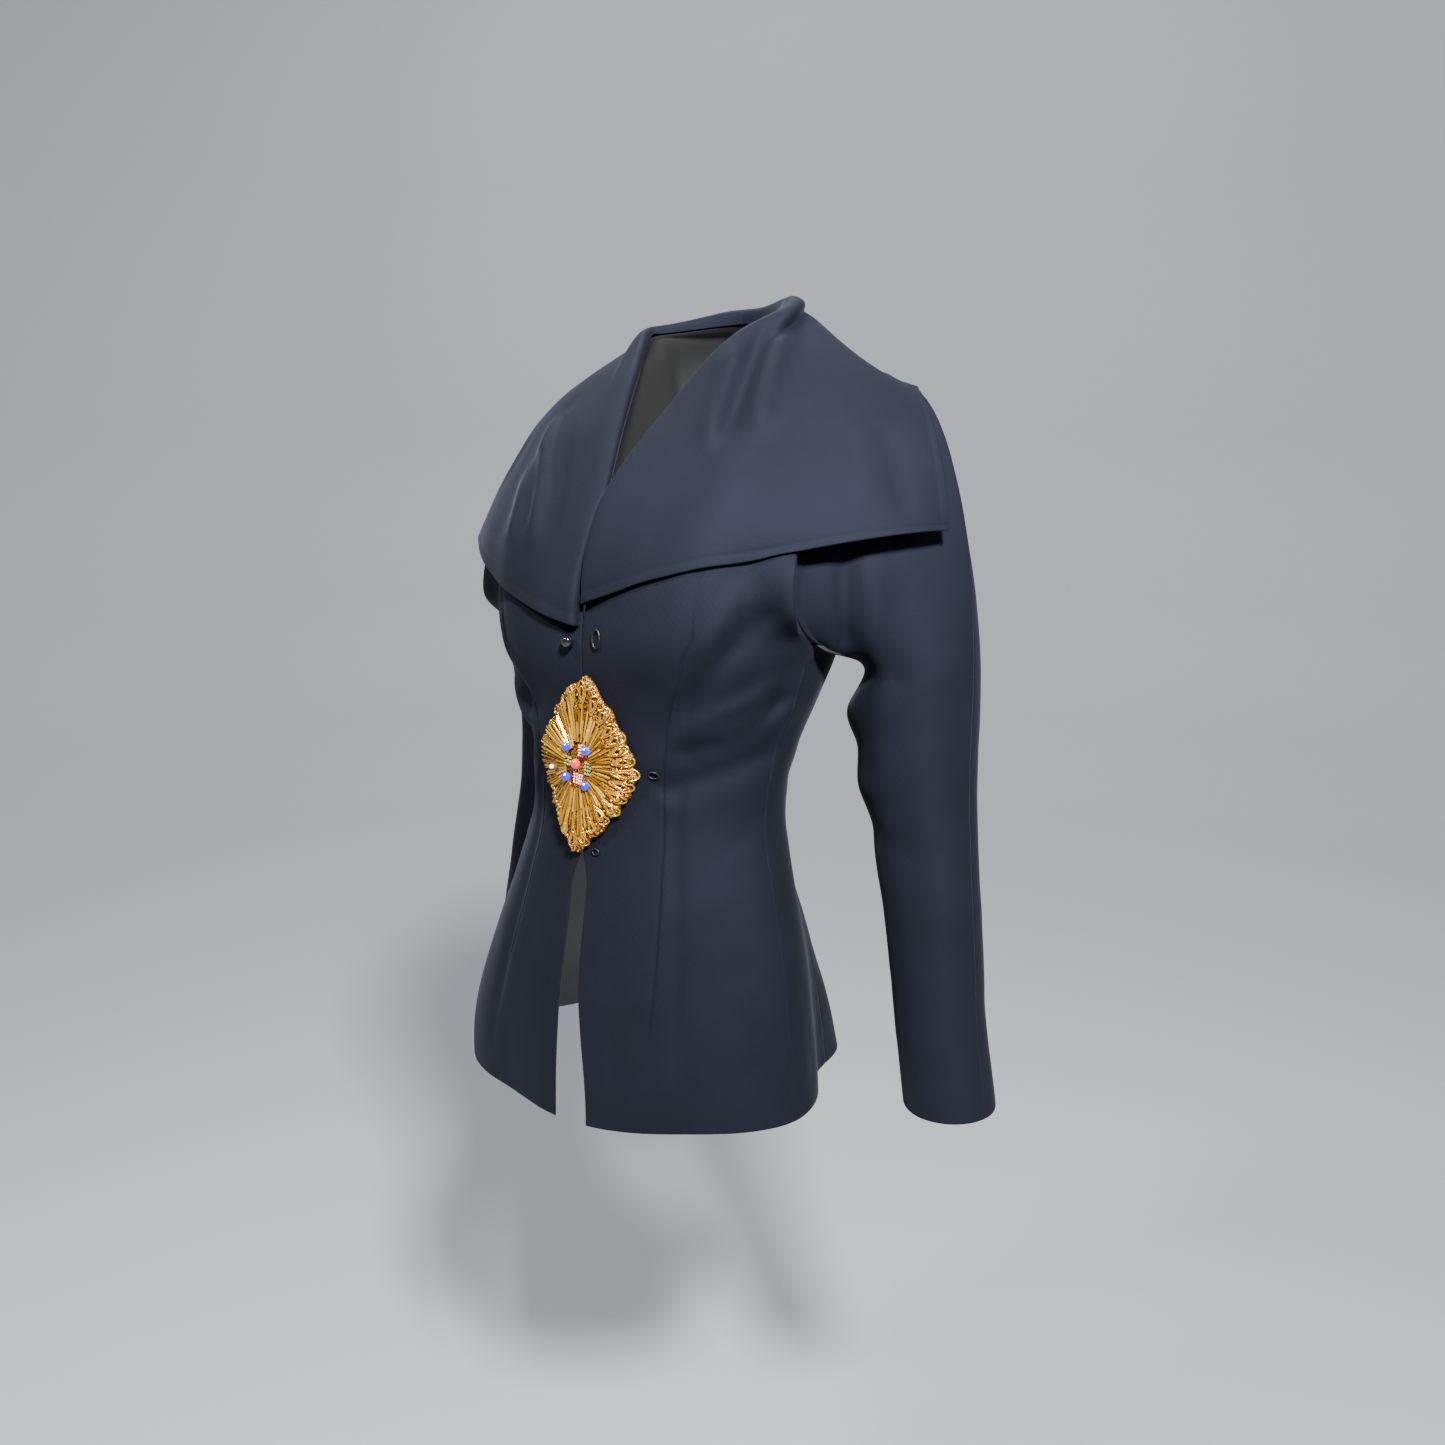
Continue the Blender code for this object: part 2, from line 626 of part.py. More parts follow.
def cloth(name, side, point, columns, rows, wall, bevels, inset=(HALF_GAP, HALF_GAP), adjust=None,
          shoulder=False):
    """A cloth wall: the outer face follows point(u, v), the inner face lies one wall inside it.
    bevels hold the inner face back at the first and last column and the first and last row.
    inset keeps the two side edges clear of the neighbours; shoulder is for a piece whose last
    row meets another piece."""
    # The backs and the back halves of the sleeves run the other way round. The collar's wall
    # lies on the outer side of its fold.
    turn = -1 if name.startswith(("back", "sleeve_back")) else 1
    middle = columns if name.startswith("collar") else 0
    bm = bmesh.new()
    bmesh.ops.create_grid(bm, x_segments=columns, y_segments=rows, size=0.5)
    outer = list(bm.verts)
    places = [(round((p.co.x + 0.5) * columns), round((p.co.y + 0.5) * rows)) for p in outer]
    rim = [e for e in bm.edges if e.is_boundary]
    copy = bmesh.ops.duplicate(bm, geom=outer + list(bm.edges) + list(bm.faces))["vert_map"]
    inner = [copy[p] for p in outer]

    grid = []
    for i in range(columns + 1):
        line = []
        for j in range(rows + 1):
            v = j / rows
            if shoulder and j == rows:
                u = i / columns
                v -= HALF_GAP / (point(u, 1.0) - point(u, 0.99)).length * 0.01
            width = sum((point((k + 1) / 4, v) - point(k / 4, v)).length for k in range(4))
            u = mix(inset[0] / width, 1 - inset[1] / width, i / columns)
            line.append(point(u, v))
        grid.append(line)
    if adjust:
        grid = adjust(grid, side, columns, rows)
    for (i, j), a, b in zip(places, outer, inner):
        along = grid[min(columns, i + 1)][j] - grid[max(0, i - 1)][j]
        if i in (0, columns) and not adjust:
            u = i / columns
            step = SLEEVE_EDGE_STEP if name.startswith("sleeve") else EDGE_STEP
            along = point(u + step, j / rows) - point(u - step, j / rows)
        upward = grid[i][min(rows, j + 1)] - grid[i][max(0, j - 1)]
        normal = (along.cross(upward) * turn).normalized()
        if on_armhole(name, i, j, columns, rows):
            normal = grid[i][j] - ARMHOLE_CENTRE
            normal.x = 0
            normal.normalize()
        if i == middle and grid[i][j].x < NEAR_MIDDLE:
            normal.x = min(normal.x, 0)
        inward = Vector((0, 0, 0))
        if i == 0:
            inward += (grid[1][j] - grid[0][j]).normalized() * bevels[0]
        if i == columns:
            inward += (grid[i - 1][j] - grid[i][j]).normalized() * bevels[1]
        inward += upward.normalized() * ((j == 0) * bevels[2] - (j == rows) * bevels[3])
        underarm = name.startswith("sleeve") and 0 < j < UNDERARM_ROWS and i > 0.6 * columns
        a.co = tilt(grid[i][j], side)
        b.co = tilt(grid[i][j] - normal * wall * (UNDERARM_THIN if underarm else 1) + inward, side)
    for edge in rim:
        loop = edge.link_loops[0]
        first, second = loop.vert, loop.link_loop_next.vert
        bm.faces.new((second, first, copy[first], copy[second]))
    inner_set = set(inner)
    bmesh.ops.reverse_faces(bm, faces=[f for f in bm.faces if all(p in inner_set for p in f.verts)])
    bmesh.ops.triangulate(bm, faces=bm.faces[:])
    return new_object(name, bm, CREPE, 0.85)


for side, word in ((1, "left"), (-1, "right")):
    cloth("front_" + word, side, lambda u, v: front_point(side, u, v), FRONT_COLUMNS, FRONT_ROWS,
          WALL, (0, 0.0008, 0, 0.0030), (0.0, HALF_GAP), shoulder=True)
    cloth("side_" + word, side, lambda u, v: side_point(side, u, v), SIDE_COLUMNS, SIDE_ROWS,
          WALL, (0.0006, 0.0026, 0, 0))
    cloth("back_" + word, side, lambda u, v: back_point(side, u, v), BACK_COLUMNS, BACK_ROWS,
          WALL, (0, 0.0026, 0, 0.0030), shoulder=True)
    cloth("sleeve_front_" + word, side, lambda u, v: around_sleeve(side, -1, u, v),
          FRONT_ARMHOLE_ROWS, SLEEVE_ROWS, WALL, (0.0008, 0.0016, 0, 0))
    cloth("sleeve_back_" + word, side, lambda u, v: around_sleeve(side, 1, u, v),
          BACK_ARMHOLE_ROWS, SLEEVE_ROWS, WALL, (0.0008, 0.0016, 0, 0))
    cloth("collar_" + word, side, lambda u, v: collar_point(side, u, v), COLLAR_COLUMNS, COLLAR_ROWS,
          COLLAR_WALL, (0, 0, 0, 0), adjust=laid_on)


GOLD = (0.62, 0.36, 0.08)
JET = (0.008, 0.008, 0.010)

# Ornament at the closing: an upright lozenge that leans a little to the right at its foot
ORNAMENT_X = -0.003
ORNAMENT_Z = -0.3525
ORNAMENT_HALF_WIDTH = 0.0505
ORNAMENT_HALF_HEIGHT = 0.0780
ORNAMENT_LEAN = math.radians(-7.0)
ORNAMENT_SHAPE = 1.30
ORNAMENT_CLEAR = 0.0009
RIM_WAVES = 17
RIM_WAVE = 0.030
BEAD_RAYS = 26
SPOKES = 78

# Ring of the ornament: share of the way out, height above the cloth, height of its rays,
# height of its lumps
ORNAMENT_RINGS = (
    (0.16, 0.0120, 0.0, 0.0),
    (0.34, 0.0120, 0.0, 0.0),
    (0.46, 0.0122, 0.0, 0.0),
    (0.54, 0.0136, 0.0010, 0.0),
    (0.68, 0.0125, 0.0013, 0.0),
    (0.80, 0.0105, 0.0010, 0.0010),
    (0.89, 0.0108, 0.0, 0.0022),
    (0.96, 0.0085, 0.0, 0.0018),
    (1.00, 0.0045, 0.0, 0.0),
)
BACK_SHARES = (0.97, 0.80, 0.60, 0.40, 0.20)


def fronts_tree():
    """The faces of both fronts, for what lies on them."""
    corners, faces = [], []
    for name in ("front_left", "front_right"):
        mesh = bpy.data.objects[name].data
        first = len(corners)
        corners += [p.co.copy() for p in mesh.vertices]
        faces += [[first + index for index in face.vertices] for face in mesh.polygons]
    return BVHTree.FromPolygons(corners, faces)


FRONTS = fronts_tree()
# Where a point lies over the parted closing, the cloth beside it is used
BESIDE_CLOSING = (0, 0.002, -0.002, 0.006, -0.006, 0.012, -0.012, 0.020)
FRONT_BEHIND = -0.12


def on_front(x, z, out):
    """A point over the fronts: x to the wearer's left, and how far it stands out from the cloth."""
    for aside in BESIDE_CLOSING:
        place = FRONTS.ray_cast(Vector((x + aside, -1, z)), Vector((0, 1, 0)))[0]
        if place is not None and place.y < FRONT_BEHIND:
            break
    return Vector((x, place.y - out, z))


def ornament_reach(turn):
    """From the ornament's middle to its rim."""
    across = abs(math.cos(turn)) / ORNAMENT_HALF_WIDTH
    up = abs(math.sin(turn)) / ORNAMENT_HALF_HEIGHT
    plain = (across ** ORNAMENT_SHAPE + up ** ORNAMENT_SHAPE) ** (-1 / ORNAMENT_SHAPE)
    return plain * (1 + RIM_WAVE * math.cos(RIM_WAVES * turn))


def ornament_place(turn, share):
    reach = ornament_reach(turn) * share
    x, z = reach * math.cos(turn), reach * math.sin(turn)
    cos, sin = math.cos(ORNAMENT_LEAN), math.sin(ORNAMENT_LEAN)
    return ORNAMENT_X + x * cos - z * sin, ORNAMENT_Z + x * sin + z * cos


def ornament_base():
    """A padded base, closed at the back, with bead rays and a lumpy rim."""
    bm = bmesh.new()
    turns = [2 * math.pi * k / SPOKES for k in range(SPOKES)]
    loops = []
    for share, height, ray, lump in ORNAMENT_RINGS:
        loop = []
        for turn in turns:
            x, z = ornament_place(turn, share)
            bumps = ray * math.cos(BEAD_RAYS * turn) + lump * math.cos(RIM_WAVES * turn)
            loop.append(bm.verts.new(on_front(x, z, height + bumps)))
        loops.append(loop)
    for share in BACK_SHARES:
        places = [ornament_place(turn, share) for turn in turns]
        loops.append([bm.verts.new(on_front(x, z, ORNAMENT_CLEAR)) for x, z in places])
    for near, far in zip(loops, loops[1:]):
        for k in range(SPOKES):
            n = (k + 1) % SPOKES
            bm.faces.new((near[k], near[n], far[n], far[k]))
    for loop, share, out in ((loops[0], 0.0, ORNAMENT_RINGS[0][1]), (loops[-1], 0.0, ORNAMENT_CLEAR)):
        middle = bm.verts.new(on_front(ORNAMENT_X, ORNAMENT_Z, out))
        for k in range(SPOKES):
            bm.faces.new((loop[k], middle, loop[(k + 1) % SPOKES]))
    bmesh.ops.recalc_face_normals(bm, faces=bm.faces[:])
    return new_object("ornament_base", bm, GOLD, 0.30, 1.0)


# Stones of the ornament: name, how far left and up from its middle, half size, colour
STONES = (
    ("stone_blue_1", -0.0115, 0.0150, 0.0046, (0.01, 0.02, 0.42)),
    ("stone_blue_2", 0.0095, 0.0140, 0.0046, (0.01, 0.02, 0.42)),
    ("stone_blue_3", -0.0130, -0.0110, 0.0046, (0.01, 0.02, 0.42)),
    ("stone_blue_4", 0.0080, -0.0160, 0.0046, (0.01, 0.02, 0.42)),
    ("stone_red", -0.0025, 0.0015, 0.0050, (0.62, 0.01, 0.02)),
)
STONE_SEAT = 0.0127
STONE_HEIGHT = 0.0042
STONE_TABLE = 0.62


def stone(name, left, up, half_size, colour):
    """A cut stone: a flat foot, a wide girdle and a small flat table."""
    bm = bmesh.new()
    centre = on_front(ORNAMENT_X + left, ORNAMENT_Z + up, STONE_SEAT)
    for share, out in ((0.80, 0.0), (1.0, 0.35), (STONE_TABLE, 1.0)):
        ring = bmesh.ops.create_circle(bm, segments=8, radius=half_size * share)["verts"]
        for p in ring:
            p.co = centre + Vector((p.co.x, -STONE_HEIGHT * out, p.co.y))
    edges = list(bm.edges)
    bmesh.ops.bridge_loops(bm, edges=edges[0:16])
    bmesh.ops.bridge_loops(bm, edges=edges[8:24])
    bmesh.ops.holes_fill(bm, edges=[e for e in bm.edges if e.is_boundary])
    bmesh.ops.recalc_face_normals(bm, faces=bm.faces[:])
    return new_object(name, bm, colour, 0.08, 0.0, 20)


# Button and thread loops: name, how far left, height, half width, half height, cord radius
LOOPS = (
    ("button_loop", 0.0200, -0.2440, 0.0040, 0.0075, 0.0009),
    ("thread_loop_side", 0.0590, -0.3560, 0.0040, 0.0030, 0.0007),
    ("thread_loop_foot", 0.0080, -0.4270, 0.0032, 0.0026, 0.0007),
)
LOOP_CLEAR = 0.0007
BUTTON_PLACE = (-0.0085, -0.2480)
BUTTON_RADIUS = 0.0052


def thread_loop(name, left, z, half_width, half_height, cord_radius):
    """A small oval of cord lying on the cloth."""
    bm = bmesh.new()
    ring = bmesh.ops.create_circle(bm, segments=6, radius=cord_radius)
    bmesh.ops.translate(bm, verts=bm.verts[:], vec=(half_width, 0, 0))
    bmesh.ops.rotate(bm, verts=bm.verts[:], cent=(half_width, 0, 0), matrix=Matrix.Rotation(math.pi / 2, 3, "X"))
    bmesh.ops.spin(bm, geom=bm.verts[:] + bm.edges[:], cent=(0, 0, 0), axis=(0, 0, 1),
                   angle=2 * math.pi, steps=14, use_merge=True)
    for p in bm.verts:
        flat = Vector((p.co.x, p.co.y * half_height / half_width, 0))
        p.co = on_front(left + flat.x, z + flat.y, LOOP_CLEAR + cord_radius + p.co.z)
    bmesh.ops.recalc_face_normals(bm, faces=bm.faces[:])
    return new_object(name, bm, JET, 0.35)


def ball_button():
    """A small round button on the right front, with its shank turned to the cloth."""
    bm = bmesh.new()
    bmesh.ops.create_uvsphere(bm, u_segments=14, v_segments=9, radius=BUTTON_RADIUS)
    bmesh.ops.translate(bm, verts=bm.verts[:], vec=on_front(*BUTTON_PLACE, BUTTON_RADIUS + LOOP_CLEAR))
    return new_object("ball_button", bm, JET, 0.20)


ornament_base()
for row in STONES:
    stone(*row)
for row in LOOPS:
    thread_loop(*row)
ball_button()
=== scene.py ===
# An evening jacket in its worn form: fitted, with a flared peplum, two-piece sleeves, a wide
# collar over the shoulders and a beaded ornament at the closing. Metres, +Z up; the wearer
# faces -Y. Every piece follows the solid of the same name.

import math

import bmesh
import bpy
from mathutils import Matrix, Vector, noise
from mathutils.bvhtree import BVHTree


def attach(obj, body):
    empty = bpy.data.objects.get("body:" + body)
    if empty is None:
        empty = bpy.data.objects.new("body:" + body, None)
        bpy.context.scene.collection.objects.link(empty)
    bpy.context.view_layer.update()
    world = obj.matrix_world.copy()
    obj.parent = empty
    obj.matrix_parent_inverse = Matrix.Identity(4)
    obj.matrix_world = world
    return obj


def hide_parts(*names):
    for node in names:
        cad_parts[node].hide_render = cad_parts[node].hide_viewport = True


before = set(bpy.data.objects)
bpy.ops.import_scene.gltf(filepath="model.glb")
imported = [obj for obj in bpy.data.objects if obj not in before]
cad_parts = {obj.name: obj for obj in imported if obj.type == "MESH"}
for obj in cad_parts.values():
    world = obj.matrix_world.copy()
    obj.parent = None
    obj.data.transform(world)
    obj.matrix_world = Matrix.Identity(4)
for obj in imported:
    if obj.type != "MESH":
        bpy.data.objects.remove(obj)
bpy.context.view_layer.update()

# Studio: a pale bowl of painted plaster, so that no edge or corner shows behind the jacket.
# Two small hard lamps high in front give the deep shadows; the others lift the wall and the arm.

WALL_PAINT = "#7c7e81"
BOWL_PROFILE = ((0.0, -1.35), (2.3, -1.35), (3.0, -1.30), (3.6, -1.12), (4.1, -0.75), (4.4, -0.15),
                (4.5, 0.8), (4.5, 4.6))


def linear(code):
    """A colour as written for a screen, in the linear values that shaders take."""
    values = [int(code[i:i + 2], 16) / 255 for i in (1, 3, 5)]
    return [v / 12.92 if v <= 0.04045 else ((v + 0.055) / 1.055) ** 2.4 for v in values] + [1.0]


def node(material, kind, settings=(), links=()):
    """Adds a node: settings are (name or socket, value), links are (socket, source socket)."""
    new = material.node_tree.nodes.new(kind)
    for name, value in settings:
        if isinstance(name, str) and hasattr(new, name):
            setattr(new, name, value)
        else:
            new.inputs[name].default_value = value
    for name, source in links:
        material.node_tree.links.new(source, new.inputs[name])
    return new


def shader_of(name):
    """A new material and its Principled shader."""
    material = bpy.data.materials.new(name)
    material.use_nodes = True
    return material, material.node_tree.nodes["Principled BSDF"]


def plain(name, colour, values):
    """A material of one colour; values are the other settings of its shader."""
    material, shader = shader_of(name)
    finish_shader(shader, dict(values, **{"Base Color": linear(colour)}))
    return material


def finish_shader(shader, values):
    for socket, value in values.items():
        shader.inputs[socket].default_value = value


def ramp(material, source, stops):
    """A colour ramp: stops are (place, colour), its two ends first."""
    new = node(material, "ShaderNodeValToRGB", (), [("Fac", source)])
    for k, (place, colour) in enumerate(stops):
        stop = new.color_ramp.elements[k] if k < 2 else new.color_ramp.elements.new(place)
        stop.position = place
        stop.color = linear(colour)
    return new.outputs["Color"]


def skin(bm, rings):
    """Quads between each ring of points and the next."""
    for near, far in zip(rings, rings[1:]):
        for k in range(len(near)):
            n = (k + 1) % len(near)
            bm.faces.new((near[k], near[n], far[n], far[k]))


def new_object(name, bm, materials):
    mesh = bpy.data.meshes.new(name)
    bm.to_mesh(mesh)
    bm.free()
    mesh.shade_smooth()
    for material in materials:
        mesh.materials.append(material)
    obj = bpy.data.objects.new(name, mesh)
    bpy.context.scene.collection.objects.link(obj)
    return obj


# Matt wall paint
paint = plain("wall_paint", WALL_PAINT, {"Roughness": 0.9})

bowl_bm = bmesh.new()
profile = [bowl_bm.verts.new((x, 0, z)) for x, z in BOWL_PROFILE]
for near, far in zip(profile, profile[1:]):
    bowl_bm.edges.new((near, far))
bmesh.ops.spin(bowl_bm, geom=bowl_bm.verts[:] + bowl_bm.edges[:], cent=(0, 0, 0), axis=(0, 0, 1),
               angle=2 * math.pi, steps=48, use_merge=True)
bmesh.ops.remove_doubles(bowl_bm, verts=bowl_bm.verts[:], dist=0.0001)
bmesh.ops.recalc_face_normals(bowl_bm, faces=bowl_bm.faces[:])
bmesh.ops.reverse_faces(bowl_bm, faces=bowl_bm.faces[:])
bowl = new_object("backdrop", bowl_bm, [paint])


def lamp(name, place, target, size, watts, colour):
    """A square soft light that looks at a target."""
    light = bpy.data.lights.new(name, "AREA")
    light.size = size
    light.energy = watts
    light.color = linear(colour)[:3]
    obj = bpy.data.objects.new(name, light)
    obj.location = place
    obj.rotation_euler = (Vector(target) - Vector(place)).to_track_quat("-Z", "Y").to_euler()
    bpy.context.scene.collection.objects.link(obj)
    return obj


lamp("key", (1.50, -1.30, 1.30), (0.0, -0.02, -0.30), 0.32, 520, "#fffdfa")
lamp("second_key", (-0.80, -1.65, 1.55), (0.0, -0.02, -0.30), 0.40, 120, "#fffdfa")
lamp("side", (2.3, 0.75, 0.7), (0.05, 0.0, -0.35), 0.8, 16, "#eef2ff")
lamp("back_wall", (-1.4, 1.4, 2.6), (-0.8, 2.6, 0.0), 1.6, 190, "#f4f6ff")

camera_data = bpy.data.cameras.new("camera")
camera_data.lens = 33.88
camera_data.sensor_width = 36
camera = bpy.data.objects.new("camera", camera_data)
camera.location = (0.7259, -0.9991, -0.067)
camera.rotation_euler = (math.radians(90 - 12.85), 0, math.radians(35.4))
bpy.context.scene.collection.objects.link(camera)
bpy.context.scene.camera = camera

# Fronts: blue-black wool crepe over interlining and satin, each front cut in one from the V to
# the hem and shaped by one long waist dart. Below the closing they part and fall free, with a
# facing turned in along the edge.

CREPE = "#0d0f16"
CREPE_SHADE = "#08090d"
SATIN = "#08090b"
SHELL = 0.0016
SEAM_GAP = 0.0003
HALF_GAP = SEAM_GAP / 2

# Heights on the body, below the neck base
HEM_Z = -0.665
WAIST_Z = -0.405
PANEL_JOIN_Z = -0.315
UNDERARM_Z = -0.252
BUST_Z = -0.238
SLIT_TOP_Z = -0.425

# Foot of the V on each front; the right front rolls open a little lower
V_FOOT_Z = {1: -0.219, -1: -0.236}

# The wearer stands with the left shoulder and hip a little higher
SHOULDER_TILT = 0.030

# Level sections of the body: height, half width at the left and at the right, depth in front
# of the centre, depth behind it, and where the centre lies. The hips stand a little to the right.
BODY_SECTIONS = (
    (-0.700, 0.163, 0.203, 0.122, 0.146, -0.083),
    (-0.620, 0.158, 0.199, 0.118, 0.136, -0.083),
    (-0.540, 0.149, 0.172, 0.110, 0.115, -0.082),
    (-0.470, 0.136, 0.143, 0.099, 0.096, -0.080),
    (-0.405, 0.1245, 0.1235, 0.0920, 0.085, -0.077),
    (-0.350, 0.1320, 0.1300, 0.0940, 0.092, -0.073),
    (-0.300, 0.1490, 0.1460, 0.0990, 0.105, -0.066),
    (-0.252, 0.1620, 0.1600, 0.1030, 0.116, -0.058),
    (-0.200, 0.1640, 0.1630, 0.1010, 0.120, -0.050),
    (-0.150, 0.1620, 0.1620, 0.0940, 0.121, -0.044),
)
FRONT_COLUMNS = 12
FRONT_ROWS = 28
FRONT_ARMHOLE_ROWS = 10
BACK_ARMHOLE_ROWS = 11
SIDE_COLUMNS = 5

# Seams round the body, in degrees from the centre front
SIDE_SEAM = 82.0
BACK_SEAM = 130.0

# Bust fullness, as a soft dome on each front
BUST_X = 0.090
BUST_RISE = 0.028
BUST_WIDTH = 0.052
BUST_HEIGHT = 0.060
BUST_DIP = 0.45

# Shoulder: neck point, shoulder point and centre back neck of the left half
NECK_POINT = Vector((0.066, 0.004, 0.002))
SHOULDER_POINT = Vector((0.178, 0.030, -0.050))
NECK_BACK = Vector((0.0, 0.056, 0.010))


def hermite(start, end, leave, arrive, t):
    """A point on the smooth curve between two ends with the given end directions."""
    t2 = t * t
    t3 = t2 * t
    return (start * (2 * t3 - 3 * t2 + 1) + leave * (t3 - 2 * t2 + t)
            + end * (3 * t2 - 2 * t3) + arrive * (t3 - t2))


def mix(a, b, t):
    return a + (b - a) * t


def ease(t):
    """0 below 0, 1 above 1, smooth between."""
    t = min(1.0, max(0.0, t))
    return t * t * (3 - 2 * t)


def read_table(rows, key):
    """The row of a table at any height, smooth between its rows."""
    ordered = sorted(rows)
    key = min(max(key, ordered[0][0]), ordered[-1][0])
    i = 0
    while i < len(ordered) - 2 and key > ordered[i + 1][0]:
        i += 1
    lower, upper = ordered[i], ordered[i + 1]
    before = ordered[max(i - 1, 0)]
    after = ordered[min(i + 2, len(ordered) - 1)]
    span = upper[0] - lower[0]
    t = (key - lower[0]) / span
    out = []
    for c in range(1, len(lower)):
        leave = (upper[c] - before[c]) / (upper[0] - before[0]) * span
        arrive = (after[c] - lower[c]) / (after[0] - lower[0]) * span
        out.append(hermite(lower[c], upper[c], leave, arrive, t))
    return out


# Soft folds on the body: side (+1 left, -1 right), the two ends of the fold as degrees round
# from the centre front and height, how far the cloth stands out (+) or sinks (-), half width
BODY_FOLDS = (
    (1, 24, -0.372, 84, -0.340, -0.0045, 0.0120),
    (1, 26, -0.345, 80, -0.308, 0.0040, 0.0120),
    (1, 32, -0.318, 82, -0.268, -0.0050, 0.0130),
    (1, 27, -0.362, 38, -0.358, 0.0018, 0.0055),
    (1, 26, -0.374, 37, -0.386, 0.0016, 0.0055),
    (-1, 22, -0.368, 84, -0.336, -0.0040, 0.0120),
    (-1, 26, -0.340, 80, -0.305, 0.0035, 0.0120),
    (-1, 30, -0.312, 82, -0.268, -0.0045, 0.0130),
    (1, 38, -0.215, 37, -0.600, -0.0024, 0.0060),
    (-1, 38, -0.215, 37, -0.600, -0.0024, 0.0060),
    (1, 112, -0.335, 168, -0.352, -0.0030, 0.0110),
    (-1, 116, -0.340, 170, -0.356, -0.0030, 0.0110),
    (1, 108, -0.372, 160, -0.380, -0.0025, 0.0090),
    (-1, 110, -0.366, 162, -0.376, -0.0025, 0.0090),
)
METRES_PER_DEGREE = 0.0023
FOLD_END = 0.35

# Flutes of the peplum: they start at the waist and grow down to the hem.
# Side, angle at the hem, rise at the hem, half width in degrees
PEPLUM_FLUTES = (
    (1, 43, -0.0100, 24),
    (1, 84, 0.0030, 14),
    (1, 122, -0.0110, 14),
    (1, 146, 0.0310, 17),
    (1, 172, -0.0060, 13),
    (-1, 26, -0.0050, 12),
    (-1, 60, 0.0030, 18),
    (-1, 96, -0.0080, 18),
    (-1, 122, -0.0090, 13),
    (-1, 147, 0.0270, 17),
    (-1, 171, -0.0060, 12),
)
FLUTE_GROWTH = 1.15


def flute_height(side, angle, z):
    drop = (WAIST_Z - z) / (WAIST_Z - HEM_Z)
    if drop <= 0:
        return 0.0
    total = sum(rise * math.exp(-((angle - degrees) / half_width) ** 2)
                for flute_side, degrees, rise, half_width in PEPLUM_FLUTES if flute_side == side)
    return total * drop ** FLUTE_GROWTH


def fold_height(side, angle, z):
    """How far the folds move the cloth out at one place."""
    total = 0.0
    for fold_side, deg0, z0, deg1, z1, rise, half_width in BODY_FOLDS:
        if fold_side != side:
            continue
        across = (deg1 - deg0) * METRES_PER_DEGREE
        along = z1 - z0
        length = math.hypot(across, along)
        dx = (angle - deg0) * METRES_PER_DEGREE
        dz = z - z0
        place = (dx * across + dz * along) / length
        aside = (dx * along - dz * across) / length
        fading = FOLD_END * length
        end_fade = ease(0.5 + place / fading) * ease(0.5 + (length - place) / fading)
        total += rise * math.exp(-(aside / half_width) ** 2) * end_fade
    return total


def body_point(side, angle, z):
    """A point on the outside of the body cloth, for the left half; the right half is mirrored."""
    left_half, right_half, front, back, centre_y = read_table(BODY_SECTIONS, z)
    half_width = left_half if side > 0 else right_half
    turn = math.radians(angle)
    across, ahead = math.sin(turn), math.cos(turn)
    x = half_width * across
    y = centre_y - (front if ahead > 0 else back) * ahead
    if ahead > 0:
        beyond = max(0.0, x - BUST_X) / BUST_WIDTH
        between = max(0.0, BUST_X - x) / BUST_X
        dome = math.exp(-beyond ** 2 - ((z - BUST_Z) / BUST_HEIGHT) ** 2) * (1 - BUST_DIP * between ** 2)
        y -= BUST_RISE * dome
    out = fold_height(side, angle, z) + flute_height(side, angle, z)
    return Vector((x + out * across, y - out * ahead, z))


def up_the_body(side, angle, z):
    """How the cloth runs for each metre upwards at one place."""
    step = 0.004
    return (body_point(side, angle, z) - body_point(side, angle, z - step)) / step


# How far the closing line swings to the right at the waist, and how much of it comes back below
DRIFT = -0.0085
DRIFT_BACK = 0.75


def closing_drift(z):
    return DRIFT * ease((-0.250 - z) / 0.120) * (1 - DRIFT_BACK * ease((-0.520 - z) / 0.140))


# Half the gap between the fronts just below the ornament, and how much it widens to the hem
SLIT_OPEN = 0.0085
SLIT_SWING = 0.0085


def front_edge(side, z):
    """How far out from the middle plane a front's free edge lies."""
    just_open = SLIT_OPEN * ease((SLIT_TOP_Z - z) / 0.030)
    swing = SLIT_SWING * ease((-0.500 - z) / 0.165)
    return HALF_GAP + just_open + swing + closing_drift(z) * side


def front_edge_angle(side, z):
    half_width = read_table(BODY_SECTIONS, z)[0 if side > 0 else 1]
    return math.degrees(math.asin(front_edge(side, z) / half_width))


# Armhole: how its front and back halves leave the underarm and reach the shoulder
ARMHOLE_FRONT_LEAVE = Vector((-0.045, -0.215, 0.130))
ARMHOLE_FRONT_ARRIVE = Vector((0.080, 0.205, 0.095))
ARMHOLE_BACK_LEAVE = Vector((-0.010, 0.200, 0.060))
ARMHOLE_BACK_ARRIVE = Vector((0.050, -0.150, 0.105))
BACK_SEAM_ON_ARMHOLE = SIDE_COLUMNS / BACK_ARMHOLE_ROWS


def armhole_front(side, t):
    underarm = body_point(side, SIDE_SEAM, UNDERARM_Z)
    return hermite(underarm, SHOULDER_POINT, ARMHOLE_FRONT_LEAVE, ARMHOLE_FRONT_ARRIVE, t)


def armhole_back(side, t):
    underarm = body_point(side, SIDE_SEAM, UNDERARM_Z)
    return hermite(underarm, SHOULDER_POINT, ARMHOLE_BACK_LEAVE, ARMHOLE_BACK_ARRIVE, t)


